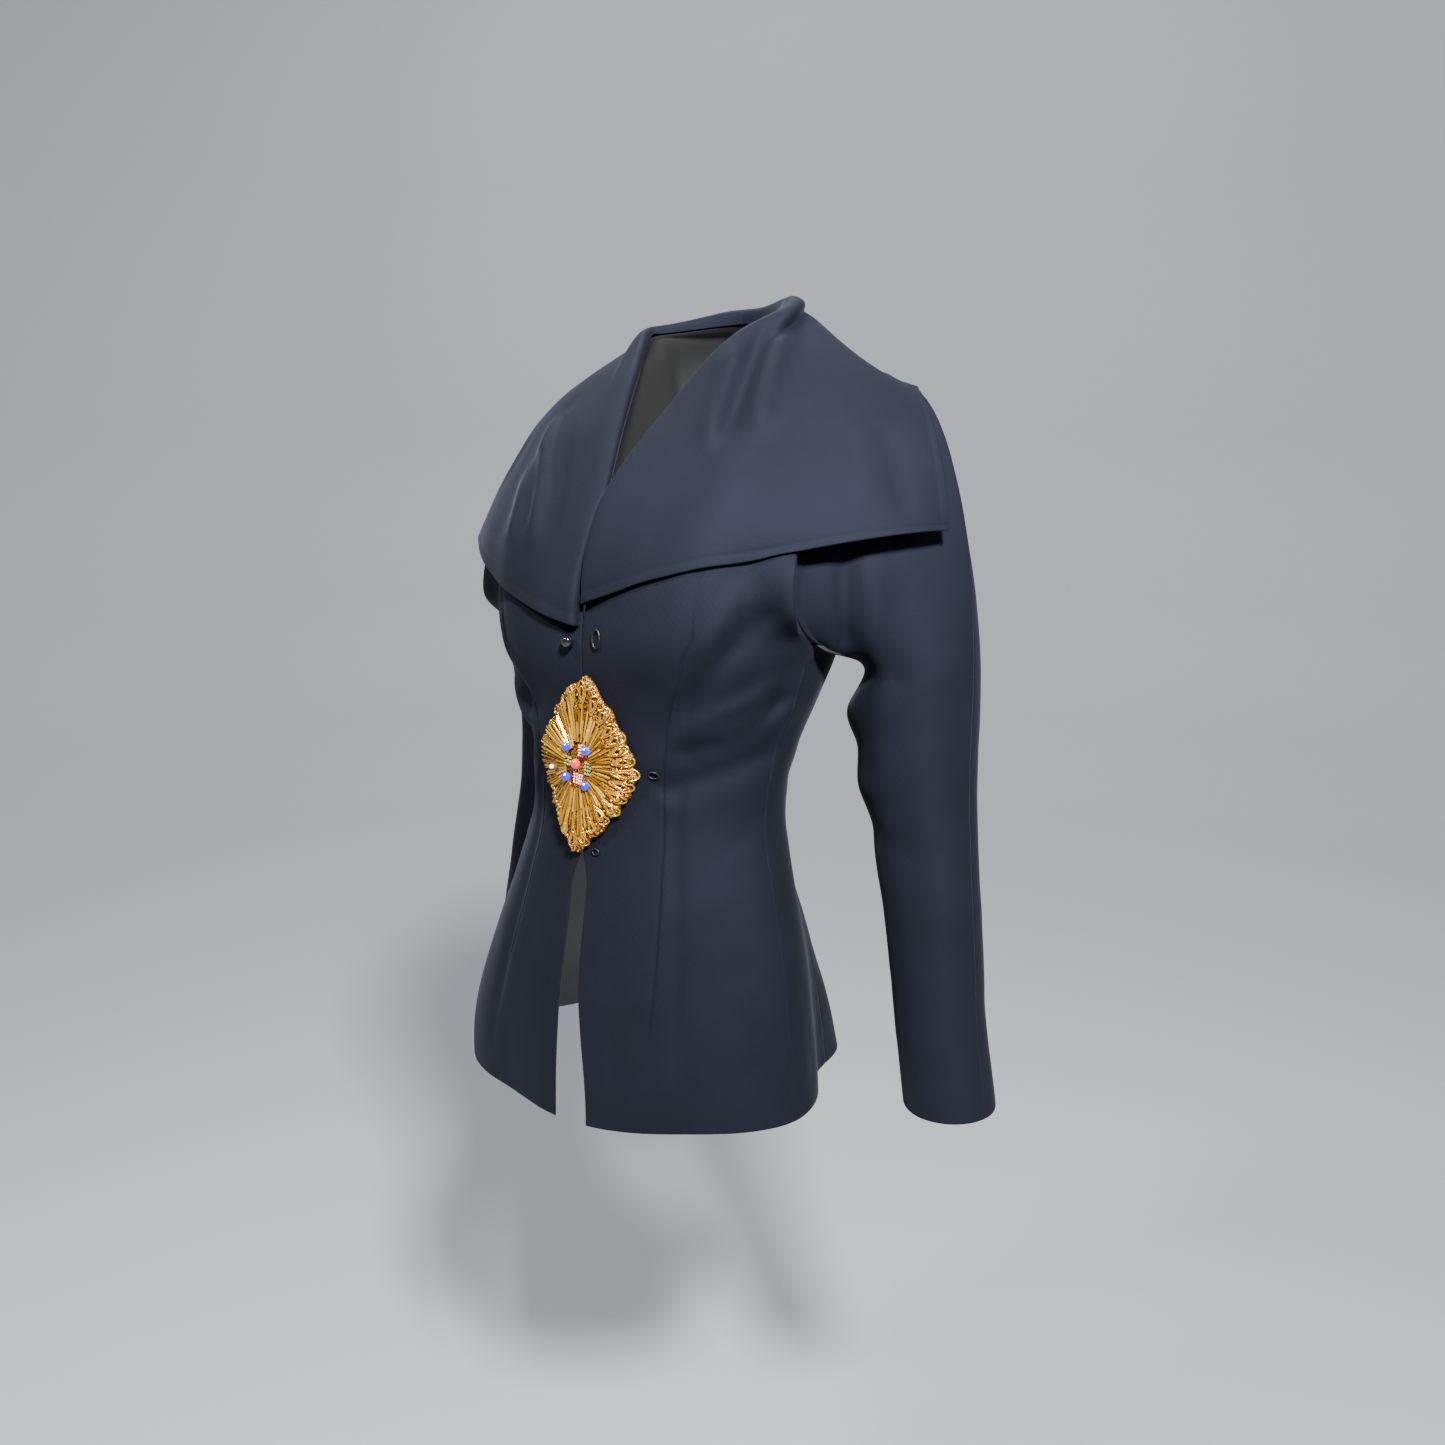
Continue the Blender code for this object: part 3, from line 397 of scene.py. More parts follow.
def shoulder_seam(t):
    """Along the shoulder seam from the neck point to the shoulder point, a little hollow."""
    p = mix(NECK_POINT, SHOULDER_POINT, t)
    return p - Vector((0, 0, 0.004 * math.sin(math.pi * t)))


V_LEAVE = {1: Vector((-0.020, -0.010, 0.230)), -1: Vector((-0.045, 0.010, 0.240))}
V_ARRIVE = {1: Vector((0.100, 0.290, 0.190)), -1: Vector((0.105, 0.260, 0.200))}
SHOULDER_ARRIVE = Vector((0.010, 0.250, 0.045))
FRONT_SPLIT = 1 - FRONT_ARMHOLE_ROWS / FRONT_ROWS


def front_join(side, u):
    """The height at which the front turns from the body's rings to the chest."""
    return mix(V_FOOT_Z[side], UNDERARM_Z, ease(u * 1.6))


def front_column(side, u, t):
    """From the bust line up to the shoulder seam; u is 0 at the V and 1 at the armhole."""
    join = front_join(side, u)
    angle = mix(front_edge_angle(side, join), SIDE_SEAM, u)
    start = body_point(side, angle, join)
    end = shoulder_seam(u)
    length = (end - start).length
    leave = up_the_body(side, angle, join) * length
    leave = mix(leave, V_LEAVE[side], (1 - u) ** 4)
    leave = mix(leave, ARMHOLE_FRONT_LEAVE, u ** 3)
    arrive = mix(SHOULDER_ARRIVE, V_ARRIVE[side], (1 - u) ** 3)
    arrive = mix(arrive, ARMHOLE_FRONT_ARRIVE, u ** 3)
    p = hermite(start, end, leave, arrive, t)
    p.x = max(p.x, start.x * (1 - u) ** 2)
    return p


def front_point(side, u, v):
    """The front panel: u from the front edge to the side seam, v from hem to shoulder."""
    if v > FRONT_SPLIT:
        return front_column(side, u, (v - FRONT_SPLIT) / (1 - FRONT_SPLIT))
    z = mix(HEM_Z, front_join(side, u), v / FRONT_SPLIT)
    return body_point(side, mix(front_edge_angle(side, z), SIDE_SEAM, u), z)


# The waist dart as angle round the body at each height: its part below the waist on each front,
# and the part above, which both share
DART_ABOVE = ((-0.410, 32.5), (-0.351, 30.5), (-0.317, 30.5), (-0.269, 36.0), (-0.221, 39.0))
DART = {1: ((-0.640, 25.0), (-0.594, 25.5), (-0.572, 27.6), (-0.457, 31.0)) + DART_ABOVE,
        -1: ((-0.640, 35.5), (-0.594, 35.3), (-0.572, 35.0), (-0.457, 33.5)) + DART_ABOVE}
DART_COLUMN = 0.40
DART_TOP = -0.222
DART_END = {1: -0.592, -1: -0.556}
DART_DEEP = 0.0021
DART_TAPER = 0.030
# Above the bust the dart's column runs on up the chest at this share of the way across
DART_ON_CHEST = 0.47

# Creases and soft ridges, in millimetres: side (0 for both), how far out (+) or
# in (-), half width and the points of its line on the left half of the body
BODY_CREASES = (
    (1, -8.4, 8, ((58, -158, -347), (72, -155, -341), (100, -138, -334), (124, -115, -321),
                  (141, -98, -303), (152, -74, -288))),
    (1, 6.2, 8.5, ((68, -156, -326), (84, -151, -318), (104, -140, -307), (128, -117, -292),
                   (148, -90, -272))),
    (1, -5.6, 9.5, ((74, -154, -310), (95, -150, -289), (121, -143, -258), (144, -128, -230),
                    (166, -98, -204))),
    (1, 3.6, 10, ((98, -158, -262), (124, -150, -226), (142, -134, -200))),
    (0, 1.4, 3.2, ((44, -166, -352), (56, -162, -350), (68, -156, -347))),
    (0, -1.4, 3, ((46, -166, -357), (57, -161, -360), (70, -154, -364))),
    (0, 1.4, 3.2, ((44, -164, -364), (56, -159, -372), (70, -152, -382))),
    (0, -1.2, 2.8, ((42, -166, -345), (54, -163, -340), (66, -157, -333))),
    (-1, -5.2, 8.5, ((60, -158, -350), (85, -148, -342), (104, -136, -335), (128, -112, -322),
                     (148, -80, -305))),
    (-1, 4.2, 8.5, ((70, -156, -330), (85, -151, -322), (103, -141, -310), (129, -116, -296),
                    (147, -90, -280))),
    (-1, -3.6, 10, ((76, -154, -312), (96, -150, -290), (121, -143, -262), (142, -128, -236))),
    (0, -1.6, 9, ((118, -126, -420), (126, -112, -408), (130, -94, -398))),
    (0, 1.2, 8, ((112, -132, -440), (124, -118, -430), (133, -92, -423))),
    (0, -2, 8.5, ((128, -30, -392), (118, -8, -398), (98, 6, -405), (70, 10, -412))),
    (0, 2, 8, ((136, -30, -360), (126, 0, -366), (102, 18, -374), (72, 24, -384))),
    (0, -2.2, 8.5, ((142, -22, -330), (132, 10, -338), (104, 30, -346), (68, 34, -350))),
    (1, -1.2, 7.5, ((158, -68, -520), (160, -66, -590), (163, -60, -664))),
)
CREASE_FADE = 0.22
# Cloth is never quite even: slow hollows about 50 mm across and quick ones about 20 mm across
UNEVEN = ((18.0, 0.0009), (48.0, 0.00035))
# The fold of the bust over the armhole: which way it stands out, where its lip lies from the
# seam, how far back it runs, the height where it ends under the collar, and how soon it starts
# and fades
FOLD_WAY = Vector((0.0165, -0.0115, -0.0020))
FOLD_LIP = 0.009
FOLD_BACK = 0.036
FOLD_TOP = -0.155
FOLD_START = 0.16
FOLD_FADE = 0.035
FACING_WIDTH = 0.027
FACING_STEP = 0.0005


def crease_height(creases, side, p):
    """How far the listed creases move the cloth out at one place."""
    total = 0.0
    for crease_side, out_mm, half_mm, line in creases:
        if crease_side not in (0, side):
            continue
        out, half_width = out_mm / 1000, half_mm / 1000
        points = [Vector([value / 1000 for value in point]) for point in line]
        reach = 2.6 * half_width
        if (p - points[len(points) // 2]).length > (points[0] - points[-1]).length + reach:
            continue
        length = sum((far - near).length for near, far in zip(points, points[1:]))
        nearest, place, run = reach, 0.0, 0.0
        for near, far in zip(points, points[1:]):
            step = far - near
            t = min(1.0, max(0.0, (p - near).dot(step) / step.length_squared))
            away = (p - near - step * t).length
            if away < nearest:
                nearest, place = away, (run + step.length * t) / length
            run += step.length
        fade = ease(place / CREASE_FADE) * ease((1 - place) / CREASE_FADE)
        total += out * math.exp(-(nearest / half_width) ** 2) * fade
    return total


def uneven(p):
    return sum(rise * noise.noise(p * scale) for scale, rise in UNEVEN)


def places(count, *close):
    """Grid places from 0 to 1: even ones, and close ones where the cloth turns sharply."""
    even = [i / count for i in range(count + 1)]
    kept = [t for t in even if t in (0.0, 1.0) or all(abs(t - c) > 0.45 / count for c in close)]
    return sorted(set(kept) | set(close))


def panel(name, node_name, side, point, across, up, turn, relief, materials, lift=0.0,
          finish=None):
    """One piece of cloth as a thin shell: point(u, v) is its outer face, relief(p, u, v) moves it
    along its own normal, and turn is -1 where u runs the other way round the body."""
    bm = bmesh.new()
    bmesh.ops.create_grid(bm, x_segments=len(across) - 1, y_segments=len(up) - 1, size=0.5)
    last_i, last_j = len(across) - 1, len(up) - 1
    spots = [(round((p.co.x + 0.5) * last_i), round((p.co.y + 0.5) * last_j)) for p in bm.verts]
    grid = [[point(u, v) for v in up] for u in across]
    moved = [list(line) for line in grid]
    for i, u in enumerate(across):
        for j, v in enumerate(up):
            along = grid[min(last_i, i + 1)][j] - grid[max(0, i - 1)][j]
            upward = grid[i][min(last_j, j + 1)] - grid[i][max(0, j - 1)]
            normal = (along.cross(upward) * turn).normalized()
            moved[i][j] = grid[i][j] + normal * (lift + relief(grid[i][j], u, v))
    if finish:
        moved = finish(moved)
    middle_i, middle_j = last_i // 2, last_j // 2
    run_x, run_y = [0.0], [0.0]
    for i in range(last_i):
        run_x.append(run_x[-1] + (moved[i + 1][middle_j] - moved[i][middle_j]).length)
    for j in range(last_j):
        run_y.append(run_y[-1] + (moved[middle_i][j + 1] - moved[middle_i][j]).length)
    weave = bm.loops.layers.uv.new("weave")
    for p, (i, j) in zip(bm.verts, spots):
        p.co = tilt(moved[i][j], side)
        for loop in p.link_loops:
            loop[weave].uv = (run_x[i], run_y[j])
    if turn * side < 0:
        bmesh.ops.reverse_faces(bm, faces=bm.faces[:])
    obj = new_object(name, bm, materials)
    shell = obj.modifiers.new("two faces", "SOLIDIFY")
    shell.thickness = SHELL
    shell.offset = -1
    shell.material_offset = 1
    soft = obj.modifiers.new("soft", "SUBSURF")
    soft.levels = 1
    soft.render_levels = 1
    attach(obj, "root")
    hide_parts(node_name)
    return obj


def tilt(p, side):
    """Mirror to its side and lean with the shoulders."""
    x = p.x * side
    return Vector((x, p.y, p.z + SHOULDER_TILT * x))


# Wool crepe: matt, a pebbled face with a fine slanting twill, and a faint bloom at grazing angles.
# The twill is drawn at 1.6 mm, coarser than the real 0.4 mm, so that it shows at all.
crepe, crepe_shader = shader_of("wool_crepe")
weave_map = node(crepe, "ShaderNodeUVMap", [("uv_map", "weave")])
body_map = node(crepe, "ShaderNodeTexCoord")
slub = node(crepe, "ShaderNodeTexNoise", [("Scale", 14.0), ("Detail", 4.0)],
            [("Vector", body_map.outputs["Object"])])
cloth_tone = node(crepe, "ShaderNodeMix",
                  [("data_type", "RGBA"), (6, linear(CREPE_SHADE)), (7, linear(CREPE))],
                  [(0, slub.outputs["Fac"])])
pebble = node(crepe, "ShaderNodeTexNoise", [("Scale", 850.0), ("Detail", 2.0)],
              [("Vector", weave_map.outputs["UV"])])
twill = node(crepe, "ShaderNodeTexWave",
             [("bands_direction", "DIAGONAL"), ("Scale", 100.0), ("Distortion", 1.5), ("Detail", 1.0)],
             [("Vector", weave_map.outputs["UV"])])
face = node(crepe, "ShaderNodeMath", [("operation", "MULTIPLY_ADD"), (1, 0.18)],
            [(0, twill.outputs["Fac"]), (2, pebble.outputs["Fac"])])
crepe_bump = node(crepe, "ShaderNodeBump", [("Strength", 0.28), ("Distance", 0.0005)],
                  [("Height", face.outputs["Value"])])
crepe.node_tree.links.new(cloth_tone.outputs[2], crepe_shader.inputs["Base Color"])
crepe.node_tree.links.new(crepe_bump.outputs["Normal"], crepe_shader.inputs["Normal"])
finish_shader(crepe_shader, {"Roughness": 0.70, "Specular IOR Level": 0.10,
                             "Specular Tint": linear("#a9b6dc"), "Sheen Weight": 0.045,
                             "Sheen Roughness": 0.35, "Sheen Tint": linear("#8f97ad")})

# Satin lining: smooth, with a low soft shine
satin = plain("satin_lining", SATIN, {"Roughness": 0.42, "Sheen Weight": 0.15})


def dart_angle(side, z):
    return read_table(DART[side], z)[0]


def front_place(side, s, v):
    """Where a grid place lies on the front: one column of the grid follows the dart."""
    if v > FRONT_SPLIT:
        t = (v - FRONT_SPLIT) / (1 - FRONT_SPLIT)
        z = V_FOOT_Z[side]
    else:
        t = 0.0
        z = mix(HEM_Z, front_join(side, 0.45), v / FRONT_SPLIT)
    edge = front_edge_angle(side, z)
    dart = (dart_angle(side, z) - edge) / (SIDE_SEAM - edge)
    dart = mix(dart, DART_ON_CHEST, ease(t * 2))
    if s < DART_COLUMN:
        return dart * s / DART_COLUMN
    return mix(dart, 1.0, (s - DART_COLUMN) / (1 - DART_COLUMN))


def fold_over(side, s, v):
    """The fullness of the bust turns over in a soft fold before it goes into the armhole."""
    p = front_point(side, front_place(side, s, v), v)
    if v <= FRONT_SPLIT:
        return p
    t = (v - FRONT_SPLIT) / (1 - FRONT_SPLIT)
    inside = (p - armhole_front(side, t)).length
    bump = ease(inside / FOLD_LIP) * (1 - ease((inside - FOLD_LIP) / FOLD_BACK))
    along = ease(t / FOLD_START) * ease((FOLD_TOP - p.z) / FOLD_FADE)
    return p + FOLD_WAY * (bump * along)


def front_relief(side, p, s):
    """The dart's stitched line, the edge of the facing that shows through, and the creases."""
    out = crease_height(BODY_CREASES, side, p) + uneven(p * side)
    if abs(s - DART_COLUMN) < 0.001:
        sewn = ease((p.z - DART_END[side]) / DART_TAPER) * ease((DART_TOP - p.z) / DART_TAPER)
        out -= DART_DEEP * sewn
    if p.z < SLIT_TOP_Z:
        inside = p.x - front_edge(side, p.z)
        out += FACING_STEP * ease((FACING_WIDTH - inside) / 0.004) * ease((SLIT_TOP_Z - p.z) / 0.06)
    return out


FRONT_ACROSS = places(34, DART_COLUMN - 0.020, DART_COLUMN - 0.0050, DART_COLUMN, DART_COLUMN + 0.0050,
                      DART_COLUMN + 0.020, 0.008, 0.94, 0.965, 0.98, 0.992)
FRONT_UP = places(76, 0.003, 0.010, 0.997)
for side, word in ((1, "left"), (-1, "right")):
    panel("crepe_front_" + word, "front_" + word, side, lambda s, v: fold_over(side, s, v),
          FRONT_ACROSS, FRONT_UP, 1, lambda p, s, v: front_relief(side, p, s),
          (crepe, satin))


# Side panels: one piece of crepe with its lining under each arm, from the side seam to the back
# seam. It is cut wide at the hem for the flare and sewn to the front and the back.

SIDE_SPLIT = 0.72
SIDE_ARRIVE = Vector((0.020, -0.030, 0.150))


def side_column(side, u, t):
    angle = mix(SIDE_SEAM, BACK_SEAM, u)
    start = body_point(side, angle, PANEL_JOIN_Z)
    end = armhole_back(side, BACK_SEAM_ON_ARMHOLE * u)
    length = (end - start).length
    leave = up_the_body(side, angle, PANEL_JOIN_Z) * length
    seam_arrive = up_the_body(side, SIDE_SEAM, UNDERARM_Z) * length
    arrive = mix(seam_arrive, SIDE_ARRIVE, u)
    return hermite(start, end, leave, arrive, t)


def side_point(side, u, v):
    """The side panel: u from the side seam to the back seam, v from hem to armhole."""
    if v > SIDE_SPLIT:
        t = (v - SIDE_SPLIT) / (1 - SIDE_SPLIT)
        seam = body_point(side, SIDE_SEAM, mix(PANEL_JOIN_Z, UNDERARM_Z, t))
        return side_column(side, u, t) + (seam - side_column(side, 0, t)) * (1 - u) ** 2
    angle = mix(SIDE_SEAM, BACK_SEAM, u)
    return body_point(side, angle, mix(HEM_Z, PANEL_JOIN_Z, v / SIDE_SPLIT))


SIDE_ACROSS = places(18, 0.02, 0.98)
SIDE_UP = places(72, 0.003, 0.010, 0.997)
for side, word in ((1, "left"), (-1, "right")):
    panel("crepe_side_" + word, "side_" + word, side, lambda u, v: side_point(side, u, v),
          SIDE_ACROSS, SIDE_UP, 1, lambda p, u, v: crease_height(BODY_CREASES, side, p) + uneven(p * side),
          (crepe, satin))


# Backs: two lined pieces of crepe joined at the centre back seam, eased over the shoulder blades
# and sewn to the fronts along the shoulders. Below the waist they fall in flutes.

BACK_ROWS = 26
BACK_SPLIT = 1 - BACK_ARMHOLE_ROWS / BACK_ROWS
NECK_SHARE = 0.40
BACK_ARRIVE = Vector((0.0, -0.190, 0.010))


def back_top(u):
    """Along the back neck and the shoulder seam; u is 0 at the centre back."""
    if u < NECK_SHARE:
        t = u / NECK_SHARE
        return hermite(NECK_BACK, NECK_POINT, Vector((0.075, 0, 0)), Vector((0.030, -0.075, -0.010)), t)
    return shoulder_seam((u - NECK_SHARE) / (1 - NECK_SHARE))


def back_column(side, u, t):
    angle = mix(180.0, BACK_SEAM, u)
    start = body_point(side, angle, PANEL_JOIN_Z)
    end = back_top(u)
    length = (end - start).length
    leave = up_the_body(side, angle, PANEL_JOIN_Z) * length
    return hermite(start, end, leave, BACK_ARRIVE, t)


def back_outer_edge(side, t):
    """The back seam up to the armhole, then the armhole up to the shoulder."""
    if t < BACK_SEAM_ON_ARMHOLE:
        return side_column(side, 1, t / BACK_SEAM_ON_ARMHOLE)
    return armhole_back(side, t)


def back_point(side, u, v):
    """The back panel: u from the centre back to the back seam, v from hem to neck and shoulder."""
    if v > BACK_SPLIT:
        t = (v - BACK_SPLIT) / (1 - BACK_SPLIT)
        edge = back_outer_edge(side, t) - back_column(side, 1, t)
        return back_column(side, u, t) + edge * u ** 3
    angle = mix(180.0, BACK_SEAM, u)
    return body_point(side, angle, mix(HEM_Z, PANEL_JOIN_Z, v / BACK_SPLIT))


BACK_ACROSS = places(26, 0.008, 0.992)
BACK_UP = places(78, 0.003, 0.010, 0.997)
for side, word in ((1, "left"), (-1, "right")):
    panel("crepe_back_" + word, "back_" + word, side, lambda u, v: back_point(side, u, v),
          BACK_ACROSS, BACK_UP, -1, lambda p, u, v: crease_height(BODY_CREASES, side, p) + uneven(p * side),
          (crepe, satin))


# Sleeves: each of two lined pieces of crepe, seamed down the outside and the inside of the arm and
# set into the armhole with a smooth head. The cuff is a plain turned edge.

# Level sections down each arm, from the end of the sleeve head to the cuff: height, where the
# centre lies, half width across and half depth. The right arm is held further back and closer in.
SLEEVE_SECTIONS = {
    1: ((-0.290, 0.2110, 0.016, 0.0475, 0.0560),
        (-0.325, 0.2060, 0.015, 0.0535, 0.0580),
        (-0.358, 0.2090, 0.013, 0.0515, 0.0550),
        (-0.400, 0.2170, 0.010, 0.0465, 0.0490),
        (-0.450, 0.2270, 0.007, 0.0430, 0.0450),
        (-0.520, 0.2380, 0.003, 0.0410, 0.0420),
        (-0.585, 0.2470, 0.000, 0.0395, 0.0400),
        (-0.662, 0.2600, -0.002, 0.0400, 0.0395)),
    -1: ((-0.290, 0.2060, 0.028, 0.0460, 0.0560),
         (-0.325, 0.2000, 0.030, 0.0515, 0.0575),
         (-0.358, 0.1960, 0.031, 0.0510, 0.0545),
         (-0.400, 0.2030, 0.030, 0.0465, 0.0490),
         (-0.450, 0.2120, 0.027, 0.0430, 0.0450),
         (-0.520, 0.2220, 0.018, 0.0410, 0.0420),
         (-0.585, 0.2290, 0.008, 0.0395, 0.0400),
         (-0.665, 0.2350, -0.006, 0.0400, 0.0395)),
}
HEAD_SHARE = 0.34
# The seam down the outside of the arm turns from behind to in front of the side, in degrees
OUTER_SEAM_TOP = 8.0
OUTER_SEAM_CUFF = -14.0
INNER_SEAM_TURN = 40.0

# Folds across the sleeve: centre height, centre angle (0 outside, -90 front, 180 inside),
# rise, half height, half angle, and how far the fold climbs for each degree round
SLEEVE_FOLDS = (
    (-0.315, -150, 0.0050, 0.016, 60, 0.00030),
    (-0.350, -150, -0.0040, 0.014, 55, 0.00025),
    (-0.385, -160, 0.0030, 0.013, 60, 0.00020),
    (-0.420, -120, -0.0022, 0.014, 50, -0.00020),
    (-0.400, 150, -0.0035, 0.014, 60, -0.00030),
    (-0.440, 140, 0.0025, 0.016, 60, -0.00025),
)


def sleeve_fold_height(angle, z):
    total = 0.0
    for fold_z, fold_angle, rise, half_height, half_angle, climb in SLEEVE_FOLDS:
        turn = (angle - fold_angle + 180) % 360 - 180
        dz = z - fold_z - climb * turn
        total += rise * math.exp(-(dz / half_height) ** 2 - (turn / half_angle) ** 2)
    return total


def sleeve_ring(side, angle, z):
    centre_x, centre_y, half_across, half_deep = read_table(SLEEVE_SECTIONS[side], z)
    out = sleeve_fold_height(angle, z)
    turn = math.radians(angle)
    return Vector((centre_x + (half_across + out) * math.cos(turn),
                   centre_y + (half_deep + out) * math.sin(turn), z))


def sleeve_seam_angle(half, v):
    """Where the inner seam runs: under the arm it starts nearer the front."""
    return 180.0 * half + INNER_SEAM_TURN * (1 - ease(v))


def sleeve_point(side, half, u, v):
    """A sleeve piece: half -1 is the front one, +1 the back one; u runs from the outer seam
    to the inner seam, v from the armhole to the cuff."""
    head_z, cuff_z = SLEEVE_SECTIONS[side][0][0], SLEEVE_SECTIONS[side][-1][0]
    z = mix(head_z, cuff_z, max(0.0, (v - HEAD_SHARE) / (1 - HEAD_SHARE)))
    outer = mix(OUTER_SEAM_TOP, OUTER_SEAM_CUFF, v)
    angle = mix(outer, sleeve_seam_angle(half, v), u)
    if v >= HEAD_SHARE:
        return sleeve_ring(side, angle, z)
    arm = armhole_front if half < 0 else armhole_back
    start = arm(side, 1 - u) + Vector((SEAM_GAP + 0.0001, 0, 0))
    end = sleeve_ring(side, angle, z)
    top = (1 - u) ** 2
    leave = Vector((0.030 + 0.110 * top, 0.015 * half * math.sin(math.pi * u), -0.050 + 0.045 * top))
    below = (sleeve_ring(side, angle, z - 0.004) - end) / 0.004
    arrive = below * (0.070 + 0.190 * top)
    return hermite(start, end, leave, arrive, v / HEAD_SHARE)


# Creases of the sleeves, in millimetres: side, how far out or in, half width, the line's points
SLEEVE_CREASES = (
    (1, -7, 8, ((184, -70, -150), (186, -70, -180), (186, -71, -215), (184, -66, -245),
                (182, -58, -275))),
    (1, 3, 8, ((200, -62, -165), (203, -56, -210), (202, -50, -260), (196, -45, -310))),
    (1, -3, 8.5, ((216, -54, -175), (218, -46, -215), (217, -41, -260), (212, -40, -310))),
    (1, -2, 13, ((228, -30, -215), (224, -34, -290), (221, -40, -364), (234, -40, -450),
                 (250, -38, -560))),
    (-1, -2.6, 9, ((204, -50, -175), (207, -40, -215), (206, -30, -270))),
    (-1, -1.8, 13, ((222, -16, -215), (216, -20, -300), (212, -24, -380), (222, -22, -470),
                    (232, -28, -580))),
    (0, -2.2, 7.5, ((160, -18, -372), (176, -36, -366), (200, -42, -352))),
    (0, 1.8, 7, ((164, -20, -398), (180, -36, -390), (204, -40, -380))),
    (0, -1.8, 6.5, ((170, -18, -424), (184, -32, -420), (206, -38, -412))),
    (0, -2, 8, ((200, 62, -400), (226, 52, -412), (248, 30, -430))),
    (0, 1.6, 7.5, ((204, 58, -430), (228, 48, -442), (250, 26, -458))),
    (0, -1.4, 7, ((210, 52, -462), (232, 42, -474), (252, 22, -488))),
    (0, -1.8, 8, ((190, 70, -230), (204, 70, -265), (212, 66, -310))),
    (0, -1.2, 8, ((236, -40, -610), (262, -36, -622), (284, -18, -628))),
    (0, 1, 8, ((232, 36, -560), (256, 34, -575), (276, 20, -585))),
)

# The front of the sleeve sinks a little just past the armhole, below the sleeve head: how deep,
# and where along the sleeve. Nothing moves right at the armhole seam.
ARMHOLE_HOLLOW = 0.0045
HOLLOW_PLACE = 0.07
HOLLOW_HALF = 0.06
SEAM_CALM = 0.05


def sleeve_relief(side, half, p, u, v):
    calm = ease(v / SEAM_CALM)
    out = (crease_height(SLEEVE_CREASES, side, p) + uneven(p * side)) * calm
    if half < 0:
        inner = ease((u - 0.25) / 0.25)
        out -= ARMHOLE_HOLLOW * inner * calm * math.exp(-((v - HOLLOW_PLACE) / HOLLOW_HALF) ** 2)
    return out


SLEEVE_ACROSS = places(20, 0.012, 0.985)
SLEEVE_UP = places(76, 0.006, 0.015, 0.997)
for side, word in ((1, "left"), (-1, "right")):
    for half, place, turn in ((-1, "front", 1), (1, "back", -1)):
        panel("crepe_sleeve_" + place + "_" + word, "sleeve_" + place + "_" + word, side,
              lambda u, v: sleeve_point(side, half, u, v), SLEEVE_ACROSS, SLEEVE_UP, turn,
              lambda p, u, v: sleeve_relief(side, half, p, u, v),
              (crepe, satin))


# Collar: two layers of crepe sewn to the neckline, rolled over and laid down over the shoulder like
# a short cape, its free edges stitched 6 mm in. The left side stands a little higher at the neck.

COLLAR_COLUMNS = 20
COLLAR_ROWS = 16
SIDE_ROWS = 24
BACK_COLUMNS = 10
SLEEVE_ROWS = 20

# The roll from the neckline: its share of the width, where the neck point lies along the collar,
# how high it stands in front, at the neck and behind, and the free edge's corners
ROLL_SHARE = 0.16
NECK_PLACE = 0.60
ROLL_FRONT = 0.0075
ROLL_NECK = {1: 0.0260, -1: 0.0070}
ROLL_BACK = 0.0120
COLLAR_FROM_MIDDLE = {1: 0.0045, -1: 0.0035}
FOOT_LIFT = 0.0026
COLLAR_CORNER = Vector((0.243, -0.010, -0.166))
COLLAR_RIDGE = Vector((0.188, 0.030, -0.043))
COLLAR_BACK = Vector((0.0, 0.100, -0.118))

# How each line across the collar leaves the roll and reaches the free edge:
# its place along the collar, and the two directions
COLLAR_SWEEP = {
    1: ((0.00, Vector((0.170, -0.030, 0.060)), Vector((0.080, 0.250, -0.010))),
        (0.30, Vector((0.150, -0.010, 0.005)), Vector((0.110, 0.150, -0.070))),
        (0.60, Vector((0.120, 0.020, -0.015)), Vector((0.110, 0.020, -0.070))),
        (0.80, Vector((0.070, 0.070, 0.010)), Vector((0.050, 0.020, -0.130))),
        (1.00, Vector((0.000, 0.055, 0.000)), Vector((0.000, 0.004, -0.150)))),
    -1: ((0.00, Vector((0.190, -0.070, 0.040)), Vector((0.060, 0.290, 0.000))),
         (0.30, Vector((0.150, -0.020, 0.010)), Vector((0.110, 0.170, -0.070))),
         (0.60, Vector((0.120, 0.020, -0.005)), Vector((0.110, 0.020, -0.080))),
         (0.80, Vector((0.070, 0.070, 0.000)), Vector((0.050, 0.020, -0.130))),
         (1.00, Vector((0.000, 0.055, 0.000)), Vector((0.000, 0.004, -0.150)))),
}


def collar_sweep(side, u):
    rows = COLLAR_SWEEP[side]
    i = 0
    while i < len(rows) - 2 and u > rows[i + 1][0]:
        i += 1
    t = ease((u - rows[i][0]) / (rows[i + 1][0] - rows[i][0]))
    return rows[i][1].lerp(rows[i + 1][1], t), rows[i][2].lerp(rows[i + 1][2], t)


def neckline(side, u):
    """On the body's neck edge: u is 0 at the foot of the V, 1 at the centre back."""
    if u < NECK_PLACE:
        return front_column(side, 0, u / NECK_PLACE)
    return back_top(NECK_SHARE * (1 - (u - NECK_PLACE) / (1 - NECK_PLACE)))


